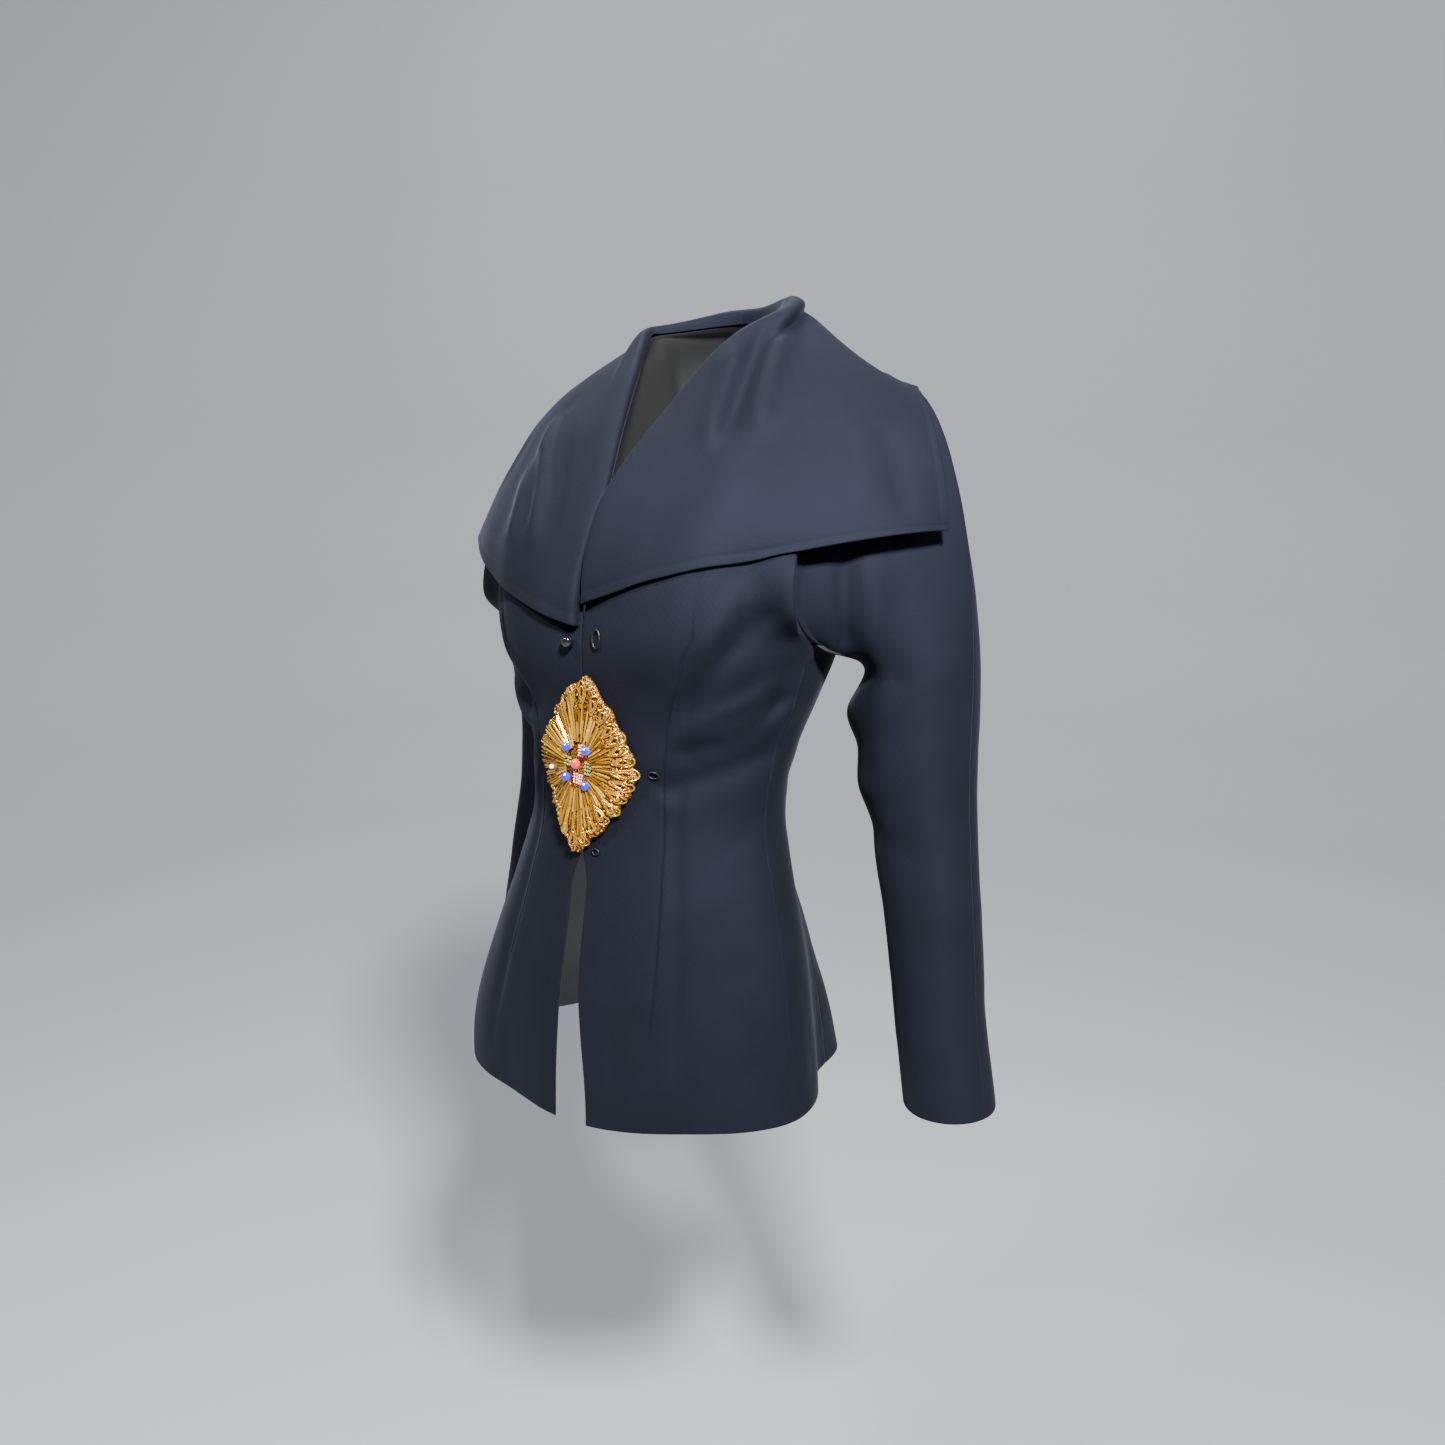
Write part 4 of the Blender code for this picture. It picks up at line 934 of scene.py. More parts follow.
def neck_frame(side, u):
    """The way out over the cloth and the way up from it, at one place of the neckline."""
    step = 0.02
    run = (neckline(side, min(1.0, u + step)) - neckline(side, max(0.0, u - step))).normalized()
    place = min(1.0, u / NECK_PLACE)
    over_front = (front_column(side, 0.06, place) - front_column(side, 0, place)).normalized()
    share = NECK_SHARE * min(1.0, (1 - u) / (1 - NECK_PLACE))
    over_back = (back_column(side, share, 0.94) - back_top(share)).normalized()
    away = over_front.lerp(over_back, ease((u - 0.48) / 0.27))
    out = (away - run * away.dot(run)).normalized()
    return out, run.cross(out).normalized() * -1


def collar_outer_edge(u):
    """The free edge from the corner on the outer arm, over the shoulder ridge, to the centre back."""
    if u < NECK_PLACE:
        return hermite(COLLAR_CORNER, COLLAR_RIDGE, Vector((-0.006, 0.008, 0.100)),
                       Vector((-0.070, 0.050, 0.060)), u / NECK_PLACE)
    return hermite(COLLAR_RIDGE, COLLAR_BACK, Vector((-0.070, 0.085, -0.110)),
                   Vector((-0.180, 0.000, -0.005)), (u - NECK_PLACE) / (1 - NECK_PLACE))


def collar_point(side, u, v):
    """The collar: u from its front end to the centre back, v from the neck seam to the free edge."""
    out, up = neck_frame(side, u)
    seam = neckline(side, u)
    stand = mix(ROLL_FRONT, ROLL_NECK[side], ease((u - 0.35) / 0.25))
    stand = mix(stand, ROLL_BACK, ease((u - 0.65) / 0.30))
    start = seam + up * (SEAM_GAP + 0.0002 + FOOT_LIFT * (1 - ease(u / 0.25)))
    top = seam + out * 0.0015 + up * stand
    if v < ROLL_SHARE:
        p = hermite(start, top, up * stand * 1.9 - out * 0.008, out * 0.014, v / ROLL_SHARE)
    else:
        leave, arrive = collar_sweep(side, u)
        p = hermite(top, collar_outer_edge(u), leave, arrive, (v - ROLL_SHARE) / (1 - ROLL_SHARE))
    if u < NECK_PLACE:
        p.x = max(p.x, COLLAR_FROM_MIDDLE[side])
    return p


def cloth_below(side):
    """The outer faces of one side's body and sleeve, for the collar to lie on."""
    corners, faces = [], []
    shells = ((lambda u, v: front_point(side, u, v), FRONT_COLUMNS, FRONT_ROWS),
              (lambda u, v: side_point(side, u, v), SIDE_COLUMNS, SIDE_ROWS),
              (lambda u, v: back_point(side, u, v), BACK_COLUMNS, BACK_ROWS),
              (lambda u, v: sleeve_point(side, -1, u, v), FRONT_ARMHOLE_ROWS, SLEEVE_ROWS),
              (lambda u, v: sleeve_point(side, 1, u, v), BACK_ARMHOLE_ROWS, SLEEVE_ROWS))
    for point, columns, rows in shells:
        first = len(corners)
        corners += [point(i / columns, j / rows) for j in range(rows + 1) for i in range(columns + 1)]
        for j in range(rows):
            for i in range(columns):
                a = first + j * (columns + 1) + i
                faces.append((a, a + 1, a + columns + 2, a + columns + 1))
    return BVHTree.FromPolygons(corners, faces)


COLLAR_CLEAR = 0.0030
LIFT_ROUNDS = 5
LIFT_REPEATS = 3
LIFT_FROM_ROW = 3
SMOOTHING = 0.4
INSIDE_BODY = Vector((0.09, -0.03, -0.25))


def lifted(p, below, clear):
    """The point moved out until it clears what lies under it."""
    near, normal = below.find_nearest(p)[:2]
    if normal.dot(near - INSIDE_BODY) < 0:
        normal = -normal
    short = clear - (p - near).dot(normal)
    return p + normal * short if short > 0 else p


def laid_on(grid, side, columns, rows):
    """Lift the collar's fall clear of the cloth below it, then even it out."""
    below = cloth_below(side)
    for lift_round in range(LIFT_ROUNDS + 1):
        for i in range(columns + 1):
            for j in range(LIFT_FROM_ROW, rows + 1):
                for again in range(LIFT_REPEATS):
                    grid[i][j] = lifted(grid[i][j], below, COLLAR_CLEAR)
        if lift_round == LIFT_ROUNDS:
            break
        held = [list(line) for line in grid]
        for i in range(1, columns):
            for j in range(LIFT_FROM_ROW + 1, rows):
                around = held[i - 1][j] + held[i + 1][j] + held[i][j - 1] + held[i][j + 1]
                grid[i][j] = held[i][j].lerp(around / 4, SMOOTHING)
    return grid


# Creases of the collar, in millimetres on the left half's points
COLLAR_CREASES = (
    (1, -10, 6.6, ((74, -18, 12), (82, -36, -4), (86, -62, -36), (88, -83, -61), (91, -98, -80),
                   (99, -114, -106))),
    (1, 6, 8.5, ((62, -40, -10), (69, -67, -40), (74, -92, -72), (82, -114, -104))),
    (1, 8.5, 10.5, ((90, -12, 2), (100, -44, -28), (106, -70, -62), (112, -92, -96))),
    (-1, -5.6, 9, ((120, -36, -42), (90, -86, -86), (60, -133, -124), (44, -166, -174))),
    (-1, 4.6, 9, ((126, -56, -60), (100, -104, -100), (74, -142, -138), (60, -166, -180))),
    (-1, -4, 8, ((112, -96, -94), (88, -130, -124), (76, -161, -170))),
    (-1, 3, 8, ((132, -98, -108), (106, -134, -136), (92, -158, -174))),
    (0, -2.2, 10, ((190, -30, -70), (208, -34, -110), (218, -40, -160))),
    (0, 2, 10, ((172, -40, -70), (186, -52, -110), (194, -62, -155))),
    (0, -2.4, 10, ((60, 66, -10), (66, 94, -50), (64, 106, -110))),
    (0, 2.2, 10, ((104, 58, -30), (118, 84, -66), (124, 92, -110))),
)
COLLAR_SHELL = 0.0024
COLLAR_LOWEST = 0.0012
# The collar's fall starts at this row of its finished grid
FALL_FROM_ROW = 13
# The turn over the shoulder ridge is evened out, on these grid lines
RIDGE_ROUNDS = 6
RIDGE_COLUMNS = range(8, 17)
RIDGE_ROW = 5
# A row of stitching 6 mm in from the free edges draws the cloth in a little
STITCH_IN = 0.006
STITCH_DEEP = 0.00045
STITCH_HALF_WIDTH = 0.0012
COLLAR_LENGTH = 0.26
COLLAR_WIDTH_SHARE = 0.85


def between(grid, s, t):
    """A point of the collar's form between its grid points, on a smooth surface through them."""
    last_i, last_j = len(grid) - 1, len(grid[0]) - 1
    i = min(int(s * last_i), last_i - 1)
    j = min(int(t * last_j), last_j - 1)

    def through(a, b, c, d, k):
        return b + 0.5 * k * (c - a + k * (2 * a - 5 * b + 4 * c - d + k * (3 * (b - c) + d - a)))

    def on_line(k):
        line = grid[k]
        before = line[j - 1] if j else line[0] * 2 - line[1]
        after = line[j + 2] if j + 2 <= last_j else line[last_j] * 2 - line[last_j - 1]
        return through(before, line[j], line[j + 1], after, t * last_j - j)

    before = on_line(i - 1) if i else on_line(0) * 2 - on_line(1)
    after = on_line(i + 2) if i + 2 <= last_i else on_line(last_i) * 2 - on_line(last_i - 1)
    return through(before, on_line(i), on_line(i + 1), after, s * last_i - i)


def collar_form(side):
    """The collar's own form: its grid laid on the body and the sleeve."""
    grid = [[collar_point(side, i / COLLAR_COLUMNS, j / COLLAR_ROWS) for j in range(COLLAR_ROWS + 1)]
            for i in range(COLLAR_COLUMNS + 1)]
    grid = laid_on(grid, side, COLLAR_COLUMNS, COLLAR_ROWS)
    for again in range(RIDGE_ROUNDS):
        held = [list(line) for line in grid]
        for i in RIDGE_COLUMNS:
            for j in range(RIDGE_ROW, COLLAR_ROWS + 1):
                grid[i][j] = held[i][j].lerp((held[i - 1][j] + held[i + 1][j]) / 2, 0.5)
    return grid


def collar_relief(side, p, u, v):
    """The creases, which start past the roll, and the row of stitching along both free edges."""
    out = crease_height(COLLAR_CREASES, side, p) * ease((v - 0.10) / 0.12) + uneven(p * side)
    for inside in ((1 - v) * COLLAR_LENGTH * COLLAR_WIDTH_SHARE, u * COLLAR_LENGTH):
        out -= STITCH_DEEP * math.exp(-((inside - STITCH_IN) / STITCH_HALF_WIDTH) ** 2)
    return out


def sewn_faces(names, moved):
    """The finished faces of some pieces, with each point moved, for what lies on them."""
    corners, faces = [], []
    for name in names:
        mesh = bpy.data.objects[name].data
        first = len(corners)
        corners += [moved(p.co) for p in mesh.vertices]
        faces += [[first + index for index in face.vertices] for face in mesh.polygons]
    return BVHTree.FromPolygons(corners, faces)


def sewn_cloth(word, side):
    """One side's front, back and sleeve, on the left half's points."""
    names = ["crepe_" + piece + word for piece in ("front_", "back_", "sleeve_front_", "sleeve_back_")]
    return sewn_faces(names, lambda p: Vector((p.x * side, p.y, p.z - SHOULDER_TILT * p.x)))


def clear_of_body(moved, below):
    """No place of the collar's fall sinks into the cloth under it."""
    for line in moved:
        for j in range(FALL_FROM_ROW, len(line)):
            line[j] = lifted(line[j], below, COLLAR_LOWEST + COLLAR_SHELL)
    return moved


COLLAR_ACROSS = places(62, 0.004, 0.014, 0.019, 0.024, 0.996)
COLLAR_UP = places(56, 0.004, 0.012, 0.969, 0.9745, 0.980, 0.996)
for side, word in ((1, "left"), (-1, "right")):
    form = collar_form(side)
    below = sewn_cloth(word, side)
    panel("crepe_collar_" + word, "collar_" + word, side, lambda u, v: between(form, u, v),
          COLLAR_ACROSS, COLLAR_UP, -1, lambda p, u, v: collar_relief(side, p, u, v),
          (crepe, crepe), lift=COLLAR_SHELL,
          finish=lambda moved: clear_of_body(moved, below))


# Ornament at the closing: an upright lozenge of gold-lined glass beads sewn on a padded ground,
# with a hook hidden under it. First the ground, close rows of small beads on felt.

ORNAMENT_X = -0.003
ORNAMENT_Z = -0.3525
ORNAMENT_HALF_WIDTH = 0.0505
ORNAMENT_HALF_HEIGHT = 0.0780
ORNAMENT_LEAN = math.radians(-7.0)
ORNAMENT_SHAPE = 1.30
RIM_WAVES = 17
RIM_WAVE = 0.030
SPOKES = 136
GROUND_SINK = 0.0022
RIM_FROM = 0.9
# Rings of the ground: share of the way out, height above the cloth, height of the rim's lumps
GROUND_RINGS = ((0.10, 0.0120, 0.0), (0.22, 0.0120, 0.0), (0.34, 0.0120, 0.0), (0.46, 0.0122, 0.0),
                (0.56, 0.0130, 0.0), (0.68, 0.0125, 0.0), (0.80, 0.0105, 0.0006), (0.88, 0.0098, 0.0014),
                (0.94, 0.0080, 0.0014), (0.98, 0.0058, 0.0), (1.00, 0.0036, 0.0))
GROUND_BACK = ((0.97, 0.0009), (0.70, 0.0009), (0.40, 0.0009))


FRONTS = sewn_faces(("crepe_front_left", "crepe_front_right"), lambda p: p.copy())
# Where a point lies over the parted closing, the cloth beside it is used
BESIDE_CLOSING = (0, 0.002, -0.002, 0.006, -0.006, 0.012, -0.012, 0.020)
FRONT_BEHIND = -0.12


def on_front(x, z, out):
    """A point over the fronts: x to the wearer's left, and how far it stands out from the cloth."""
    for aside in BESIDE_CLOSING:
        place = FRONTS.ray_cast(Vector((x + aside, -1, z)), Vector((0, 1, 0)))[0]
        if place is not None and place.y < FRONT_BEHIND:
            break
    return Vector((x, place.y - out, z))


def ornament_reach(turn):
    """From the ornament's middle to its rim."""
    across = abs(math.cos(turn)) / ORNAMENT_HALF_WIDTH
    up = abs(math.sin(turn)) / ORNAMENT_HALF_HEIGHT
    plain = (across ** ORNAMENT_SHAPE + up ** ORNAMENT_SHAPE) ** (-1 / ORNAMENT_SHAPE)
    return plain * (1 + RIM_WAVE * math.cos(RIM_WAVES * turn))


def leaned(x, z):
    """From the ornament's own middle to the jacket."""
    cos, sin = math.cos(ORNAMENT_LEAN), math.sin(ORNAMENT_LEAN)
    return ORNAMENT_X + x * cos - z * sin, ORNAMENT_Z + x * sin + z * cos


def ornament_place(turn, share):
    reach = ornament_reach(turn) * share
    return leaned(reach * math.cos(turn), reach * math.sin(turn))


def ground_height(share):
    """How high the ground's top stands over the cloth at one share of the way out."""
    rings = ((0.0, 0.0120, 0.0),) + GROUND_RINGS
    for near, far in zip(rings, rings[1:]):
        if share <= far[0]:
            height = mix(near[1], far[1], (share - near[0]) / (far[0] - near[0]))
            return height - GROUND_SINK * (share < RIM_FROM)
    return rings[-1][1]


# Gold-lined glass beads, light and dark ones mixed. On the purl coils the same tone is painted shade in the
# grooves and a painted highlight on the turns.
gold, gold_shader = shader_of("gold_lined_beads")
gold_tone = node(gold, "ShaderNodeAttribute", [("attribute_name", "tone")])
gold_colours = ramp(gold, gold_tone.outputs["Fac"],
                    ((0.05, "#6a400c"), (0.90, "#f2c64e"), (0.5, "#b8821f")))
gold.node_tree.links.new(gold_colours, gold_shader.inputs["Base Color"])
finish_shader(gold_shader, {"Metallic": 0.80, "Roughness": 0.20, "Coat Weight": 0.5,
                            "Coat Roughness": 0.08})

# The ground's small beads, in the shadow between the larger ones. Their colour is gold with painted shade:
# a painted highlight in each bead's middle, and painted shade at its edge and in the gaps between beads.
ground_beads, ground_shader = shader_of("gold_seed_beads_painted_shade")
ground_map = node(ground_beads, "ShaderNodeTexCoord")
ground_cells = node(ground_beads, "ShaderNodeTexVoronoi", [("Scale", 620.0)],
                    [("Vector", ground_map.outputs["Object"])])
bead_distance = ground_cells.outputs["Distance"]
# painted highlight in each bead's middle, painted shade towards its edge and the gaps between beads
ground_colour_painted_shade = ramp(ground_beads, bead_distance, ((0.1, "#b07a24"), (0.65, "#3a2208")))
ground_bump = node(ground_beads, "ShaderNodeBump",
                   [("Strength", 0.9), ("Distance", 0.0010), ("invert", True)],
                   [("Height", bead_distance)])
ground_beads.node_tree.links.new(ground_colour_painted_shade, ground_shader.inputs["Base Color"])
ground_beads.node_tree.links.new(ground_bump.outputs["Normal"], ground_shader.inputs["Normal"])
finish_shader(ground_shader, {"Metallic": 0.6, "Roughness": 0.32})

ground_bm = bmesh.new()
turns = [2 * math.pi * k / SPOKES for k in range(SPOKES)]
loops = []
for share, height, lump in GROUND_RINGS:
    loop = []
    for turn in turns:
        x, z = ornament_place(turn, share)
        top = height - GROUND_SINK * (share < RIM_FROM) + lump * math.cos(RIM_WAVES * turn)
        loop.append(ground_bm.verts.new(on_front(x, z, top)))
    loops.append(loop)
for share, height in GROUND_BACK:
    loops.append([ground_bm.verts.new(on_front(*ornament_place(turn, share), height)) for turn in turns])
skin(ground_bm, loops)
for loop, out in ((loops[0], GROUND_RINGS[0][1] - GROUND_SINK), (loops[-1], GROUND_BACK[-1][1])):
    centre = ground_bm.verts.new(on_front(ORNAMENT_X, ORNAMENT_Z, out))
    for k in range(SPOKES):
        ground_bm.faces.new((loop[k], centre, loop[(k + 1) % SPOKES]))
bmesh.ops.recalc_face_normals(ground_bm, faces=ground_bm.faces[:])
ground = new_object("bead_ground", ground_bm, [ground_beads])
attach(ground, "root")
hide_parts("ornament_base")


# Bugle beads: gold-lined glass tubes laid outwards like rays, in an inner and an outer fan, each
# sewn down at both ends.

BUGLE_RADIUS = 0.00078
# Each fan: first and last turn in degrees, how many rays, shares where they start and end, and
# how far they stand over the ground
BUGLE_FANS = (
    (100, 150, 15, 0.34, 0.90, 0.0016),
    (150, 216, 19, 0.34, 0.97, 0.0016),
    (216, 262, 15, 0.35, 0.92, 0.0016),
    (262, 302, 12, 0.35, 0.80, 0.0018),
    (302, 346, 12, 0.37, 0.74, 0.0016),
    (-14, 58, 17, 0.37, 0.66, 0.0016),
    (58, 100, 11, 0.36, 0.70, 0.0016),
    (0, 360, 44, 0.30, 0.52, 0.0032),
)


def toned_mesh():
    """An empty mesh whose points say how light their bead is; on the purl coils they carry painted shade
    and a painted highlight.
    """
    bm = bmesh.new()
    bm.verts.layers.float.new("tone")
    return bm


def bugle(bm, start, end, radius, tone):
    """A six-sided tube bead between two points."""
    run = end - start
    place = Matrix.Translation((start + end) / 2) @ run.to_track_quat("Z", "Y").to_matrix().to_4x4()
    made = bmesh.ops.create_cone(bm, cap_ends=True, cap_tris=False, segments=6, radius1=radius,
                                 radius2=radius, depth=run.length, matrix=place)["verts"]
    for p in made:
        p[bm.verts.layers.float["tone"]] = tone


def wobble(k):
    """A fixed uneven number from -1 to 1 for the k-th bead."""
    return 2 * math.modf(abs(math.sin(k * 12.9898) * 43758.5453))[0] - 1


bugle_bm = toned_mesh()
for first, last, count, inner, outer, above in BUGLE_FANS:
    for k in range(count):
        turn = math.radians(mix(first, last, (k + 0.5) / count))
        a = inner + 0.020 * wobble(k + first)
        b = outer + 0.030 * wobble(k + 77 + first)
        start = on_front(*ornament_place(turn, a), ground_height(a) + above)
        turn += 0.035 * wobble(k + 5)
        end = on_front(*ornament_place(turn, b), ground_height(min(b, RIM_FROM)) + above * 0.6)
        radius = BUGLE_RADIUS * (1 + 0.12 * wobble(k + 3))
        bugle(bugle_bm, start, end, radius, 0.55 + 0.40 * wobble(k + 11 + first))
bugles = new_object("bugle_beads", bugle_bm, [gold])
bugles.data.set_sharp_from_angle(angle=math.radians(35))
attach(bugles, "root")


# Round beads: small gold-lined glass beads, one at the tip of each ray and a closer row along the
# rim, each sewn on singly.

TIP_BEADS = 92
TIP_SHARE = 0.875
TIP_RADIUS = 0.00115
RIM_SHARE = 0.975
RIM_RADIUS = 0.0010


def round_bead(bm, centre, radius, tone=0.5):
    made = bmesh.ops.create_uvsphere(bm, u_segments=8, v_segments=6, radius=radius)["verts"]
    for p in made:
        p.co = p.co + centre
        p[bm.verts.layers.float["tone"]] = tone


tip_bm = toned_mesh()
for k in range(TIP_BEADS):
    turn = 2 * math.pi * (k + 0.5) / TIP_BEADS
    share = TIP_SHARE + 0.030 * wobble(k + 77)
    round_bead(tip_bm, on_front(*ornament_place(turn, share), ground_height(share) + 0.0010),
               TIP_RADIUS * (1 + 0.15 * wobble(k + 31)), 0.5 + 0.5 * wobble(k + 13))
for k in range(TIP_BEADS):
    turn = 2 * math.pi * k / TIP_BEADS
    round_bead(tip_bm, on_front(*ornament_place(turn, RIM_SHARE), ground_height(RIM_SHARE) + 0.0006),
               RIM_RADIUS * (1 + 0.15 * wobble(k + 61)), 0.5 + 0.5 * wobble(k + 17))
tips = new_object("tip_beads", tip_bm, [gold])
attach(tips, "root")


# Purl loops: gilt wire wound into a fine springy coil, cut to length, bent into loops and couched
# along the rim in lobes.

PURL_RADIUS = 0.00085
PURL_TURNS_PER_METRE = 620
PURL_SIDES = 7
# Each lobe: turn round the ornament in degrees, share of its middle, half length, half width
LOBES = (
    (90, 0.80, 0.0115, 0.0050), (78, 0.84, 0.0085, 0.0040), (102, 0.84, 0.0085, 0.0040),
    (66, 0.86, 0.0080, 0.0042), (54, 0.86, 0.0078, 0.0042), (42, 0.84, 0.0085, 0.0048),
    (30, 0.86, 0.0080, 0.0044), (17, 0.86, 0.0085, 0.0044), (3, 0.84, 0.0100, 0.0052),
    (-11, 0.86, 0.0090, 0.0046), (-26, 0.84, 0.0085, 0.0046), (-41, 0.86, 0.0080, 0.0044),
    (-56, 0.84, 0.0085, 0.0046), (-70, 0.86, 0.0085, 0.0042), (-90, 0.83, 0.0110, 0.0050),
    (-80, 0.88, 0.0075, 0.0038), (-101, 0.88, 0.0080, 0.0040), (-112, 0.92, 0.0060, 0.0034),
    (114, 0.92, 0.0062, 0.0034),
)
# In each lobe, an outer and an inner loop: share of the lobe, height above the ground, points
LOBE_LOOPS = ((1.0, 0.0014, 40), (0.58, 0.0020, 26))


def purl(bm, points, radius):
    """A closed coil of wire along a ring of points: a tube whose wall winds round. Its tone is painted
    shade where the wall sinks between the turns and a painted highlight where it swells.
    """
    count = len(points)
    rings, run = [], 0.0
    for k, p in enumerate(points):
        ahead = (points[(k + 1) % count] - points[k - 1]).normalized()
        side_way = ahead.cross(Vector((0, 1, 0))).normalized()
        up_way = side_way.cross(ahead)
        ring = []
        for s in range(PURL_SIDES):
            turn = 2 * math.pi * s / PURL_SIDES
            wound = math.sin(turn * 2 + run * PURL_TURNS_PER_METRE * math.pi)
            thick = radius * (1 + 0.22 * wound)
            spot = p + side_way * (thick * math.cos(turn)) + up_way * (thick * math.sin(turn))
            ring.append(bm.verts.new(spot))
            # painted shade in the coil's grooves and painted highlight on its turns, following the winding
            ring[-1][bm.verts.layers.float["tone"]] = 0.5 + 0.3 * wound
        rings.append(ring)
        run += (points[(k + 1) % count] - p).length
    skin(bm, rings + rings[:1])


purl_bm = toned_mesh()
for degrees, share, half_length, half_width in LOBES:
    turn = math.radians(degrees)
    reach = ornament_reach(turn) * share
    middle = Vector((reach * math.cos(turn), reach * math.sin(turn)))
    ahead = middle.normalized()
    aside = Vector((-ahead.y, ahead.x))
    for size, raised, steps in LOBE_LOOPS:
        ring = []
        for k in range(steps):
            a = 2 * math.pi * k / steps
            wide = half_width * size * (0.62 + 0.38 * math.cos(a))
            spot = middle + ahead * (half_length * size * math.cos(a)) + aside * (wide * math.sin(a) * 1.2)
            x, z = leaned(spot.x, spot.y)
            out = min(1.0, spot.length / ornament_reach(math.atan2(spot.y, spot.x)))
            ring.append(on_front(x, z, ground_height(out) + raised))
        purl(purl_bm, ring, PURL_RADIUS)
bmesh.ops.recalc_face_normals(purl_bm, faces=purl_bm.faces[:])
lobes = new_object("purl_loops", purl_bm, [gold])
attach(lobes, "root")


# Seed beads and small crystals round the stones: pink ones in short columns above and below the
# red stone, clear green ones beside it, and one pearl near the left tip.

SEED_RADIUS = 0.0010
CRYSTAL_RADIUS = SEED_RADIUS * 1.15
PEARL_RADIUS = 0.0022
# Blocks of beads from the ornament's middle: the columns' places and the rows' places
PINK_BLOCKS = (((-0.0015, 0.0008, 0.0031), (0.0085, 0.0108, 0.0131, 0.0154, 0.0177)),
               ((-0.0048, -0.0024, 0.0000, 0.0024), (-0.0088, -0.0112, -0.0136, -0.0160)))
GREEN_BLOCKS = (((-0.0180, -0.0155, -0.0130, -0.0105), (-0.0025, 0.0005, 0.0035)),
                ((0.0062, 0.0088, 0.0114, 0.0140), (-0.0055, -0.0025, 0.0005, 0.0035)))
PEARL_BLOCKS = (((-0.0330,), (-0.0110,)),)

# Opaque pink glass, clear green crystal and glass pearl
pink = plain("pink_seed_beads", "#c77f86", {"Roughness": 0.22, "Coat Weight": 0.6})
green = plain("green_crystals", "#8d9a5c", {"Roughness": 0.08, "Transmission Weight": 0.55})
pearl = plain("pearl", "#e9dfc8", {"Roughness": 0.18, "Coat Weight": 0.7})

for name, blocks, radius, material in (("pink_seed_beads", PINK_BLOCKS, SEED_RADIUS, pink),
                                       ("green_crystals", GREEN_BLOCKS, CRYSTAL_RADIUS, green),
                                       ("pearl_bead", PEARL_BLOCKS, PEARL_RADIUS, pearl)):
    bead_bm = toned_mesh()
    spots = [(x, z) for columns, rows in blocks for x in columns for z in rows]
    for k, (x, z) in enumerate(spots):
        x, z = x + 0.0003 * wobble(k), z + 0.0003 * wobble(k + 9)
        share = math.hypot(x, z) / ornament_reach(math.atan2(z, x))
        round_bead(bead_bm, on_front(*leaned(x, z), ground_height(share) + radius * 0.8), radius)
    beads = new_object(name, bead_bm, [material])
    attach(beads, "root")


# Stones: four blue and one red cut glass stone, moulded with facets and polished, each held in a
# claw that is sewn through the ground.

STONES = (
    ("stone_blue_1", -0.0115, 0.0150, 0.0046), ("stone_blue_2", 0.0095, 0.0140, 0.0046),
    ("stone_blue_3", -0.0130, -0.0110, 0.0046), ("stone_blue_4", 0.0080, -0.0160, 0.0046),
    ("stone_red", -0.0025, 0.0015, 0.0050),
)
STONE_SEAT = 0.0106
# Rings of the cut: share of the half size, height above the seat, turn of the ring in facets
STONE_CUT = ((0.66, 0.0, 0.0), (0.92, 0.0022, 0.5), (0.92, 0.0028, 0.5), (0.76, 0.0048, 0.0),
             (0.46, 0.0060, 0.5))
STONE_FACETS = 10

# Polished coloured glass with a foil back
POLISH = {"Roughness": 0.05, "Coat Weight": 1.0}
blue_glass = plain("blue_cut_glass", "#0b16a0", POLISH)
red_glass = plain("red_cut_glass", "#c00a1c", POLISH)

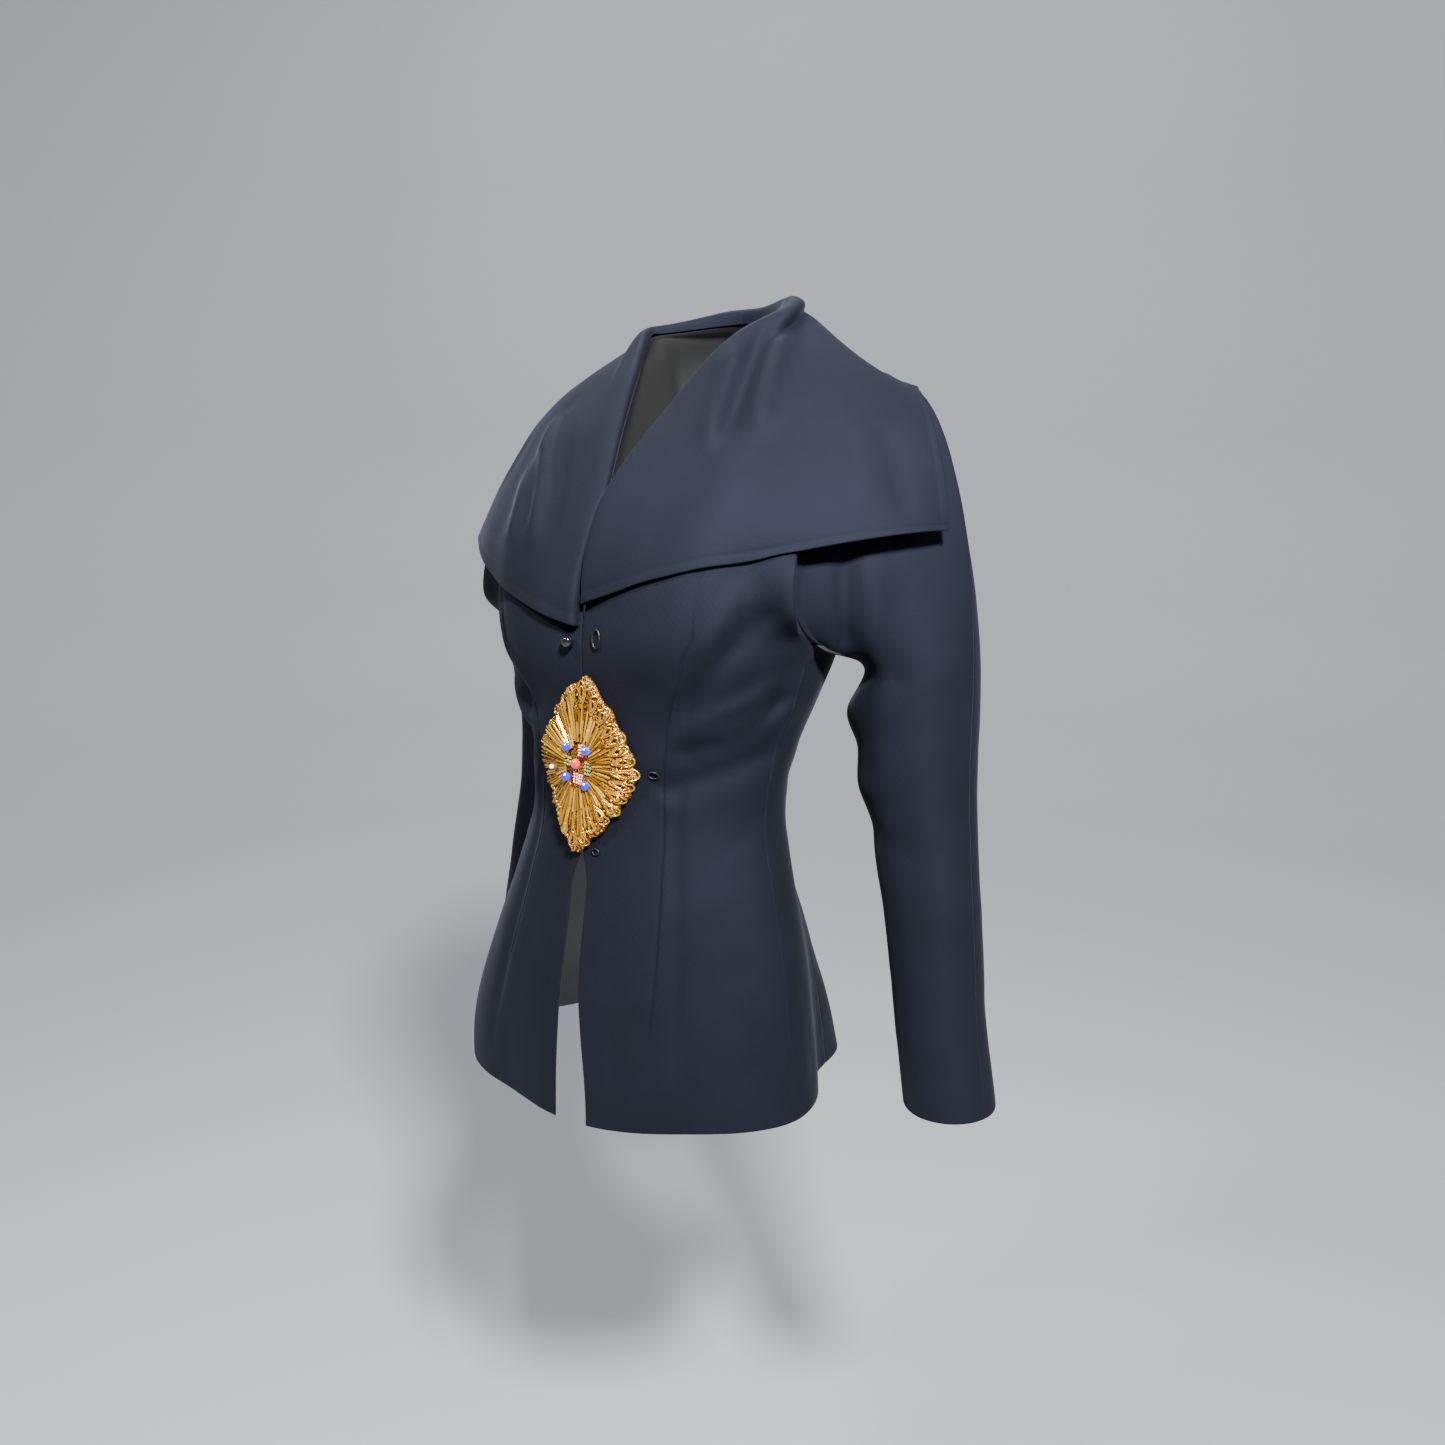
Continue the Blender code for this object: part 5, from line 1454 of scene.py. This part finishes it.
for name, left, up, half_size in STONES:
    stone_bm = bmesh.new()
    centre = on_front(ORNAMENT_X + left, ORNAMENT_Z + up, STONE_SEAT)
    rings = []
    for share, out, shift in STONE_CUT:
        ring = []
        for k in range(STONE_FACETS):
            turn = 2 * math.pi * (k + shift) / STONE_FACETS
            reach = half_size * share
            corner = Vector((reach * math.cos(turn), -out, reach * math.sin(turn)))
            ring.append(stone_bm.verts.new(centre + corner))
        rings.append(ring)
    skin(stone_bm, rings)
    stone_bm.faces.new(rings[0])
    stone_bm.faces.new(rings[-1])
    bmesh.ops.triangulate(stone_bm, faces=[f for f in stone_bm.faces if len(f.verts) == 4])
    bmesh.ops.recalc_face_normals(stone_bm, faces=stone_bm.faces[:])
    cut_stone = new_object("cut_" + name, stone_bm, [red_glass if name == "stone_red" else blue_glass])
    cut_stone.data.shade_flat()
    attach(cut_stone, "root")
    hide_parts(name)


# Button and loops: a small jet ball on the right front, a cord loop opposite it, and two thread
# loops, one past the ornament's tip and one below it.

BUTTON_RADIUS = 0.0052
BUTTON_PLACE = (-0.0085, -0.2480)
LOOP_CLEAR = 0.0007
LOOP_POINTS = 72

# Black pressed glass, and twisted black silk with a low shine
jet = plain("jet_glass", "#0b0b0e", {"Roughness": 0.12, "Coat Weight": 0.6})
silk = plain("silk_cord", "#07080a", {"Roughness": 0.45, "Specular IOR Level": 0.25})

button_bm = bmesh.new()
bmesh.ops.create_uvsphere(button_bm, u_segments=40, v_segments=24, radius=BUTTON_RADIUS)
bmesh.ops.translate(button_bm, verts=button_bm.verts[:],
                    vec=on_front(*BUTTON_PLACE, BUTTON_RADIUS + LOOP_CLEAR))
button = new_object("jet_button", button_bm, [jet])
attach(button, "root")
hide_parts("ball_button")

# Each loop: name, place to the left, height, half width, half height and the cord's radius
LOOPS = (("button_loop", 0.0200, -0.2440, 0.0040, 0.0075, 0.0009),
         ("thread_loop_side", 0.0590, -0.3560, 0.0040, 0.0030, 0.0007),
         ("thread_loop_foot", 0.0080, -0.4270, 0.0032, 0.0026, 0.0007))
for name, left, z, half_width, half_height, radius in LOOPS:
    cord_bm = toned_mesh()
    ring = []
    for k in range(LOOP_POINTS):
        turn = 2 * math.pi * k / LOOP_POINTS
        ring.append(on_front(left + half_width * math.cos(turn), z + half_height * math.sin(turn),
                             LOOP_CLEAR + radius))
    purl(cord_bm, ring, radius)
    bmesh.ops.recalc_face_normals(cord_bm, faces=cord_bm.faces[:])
    cord = new_object("silk_" + name, cord_bm, [silk])
    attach(cord, "root")
    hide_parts(name)
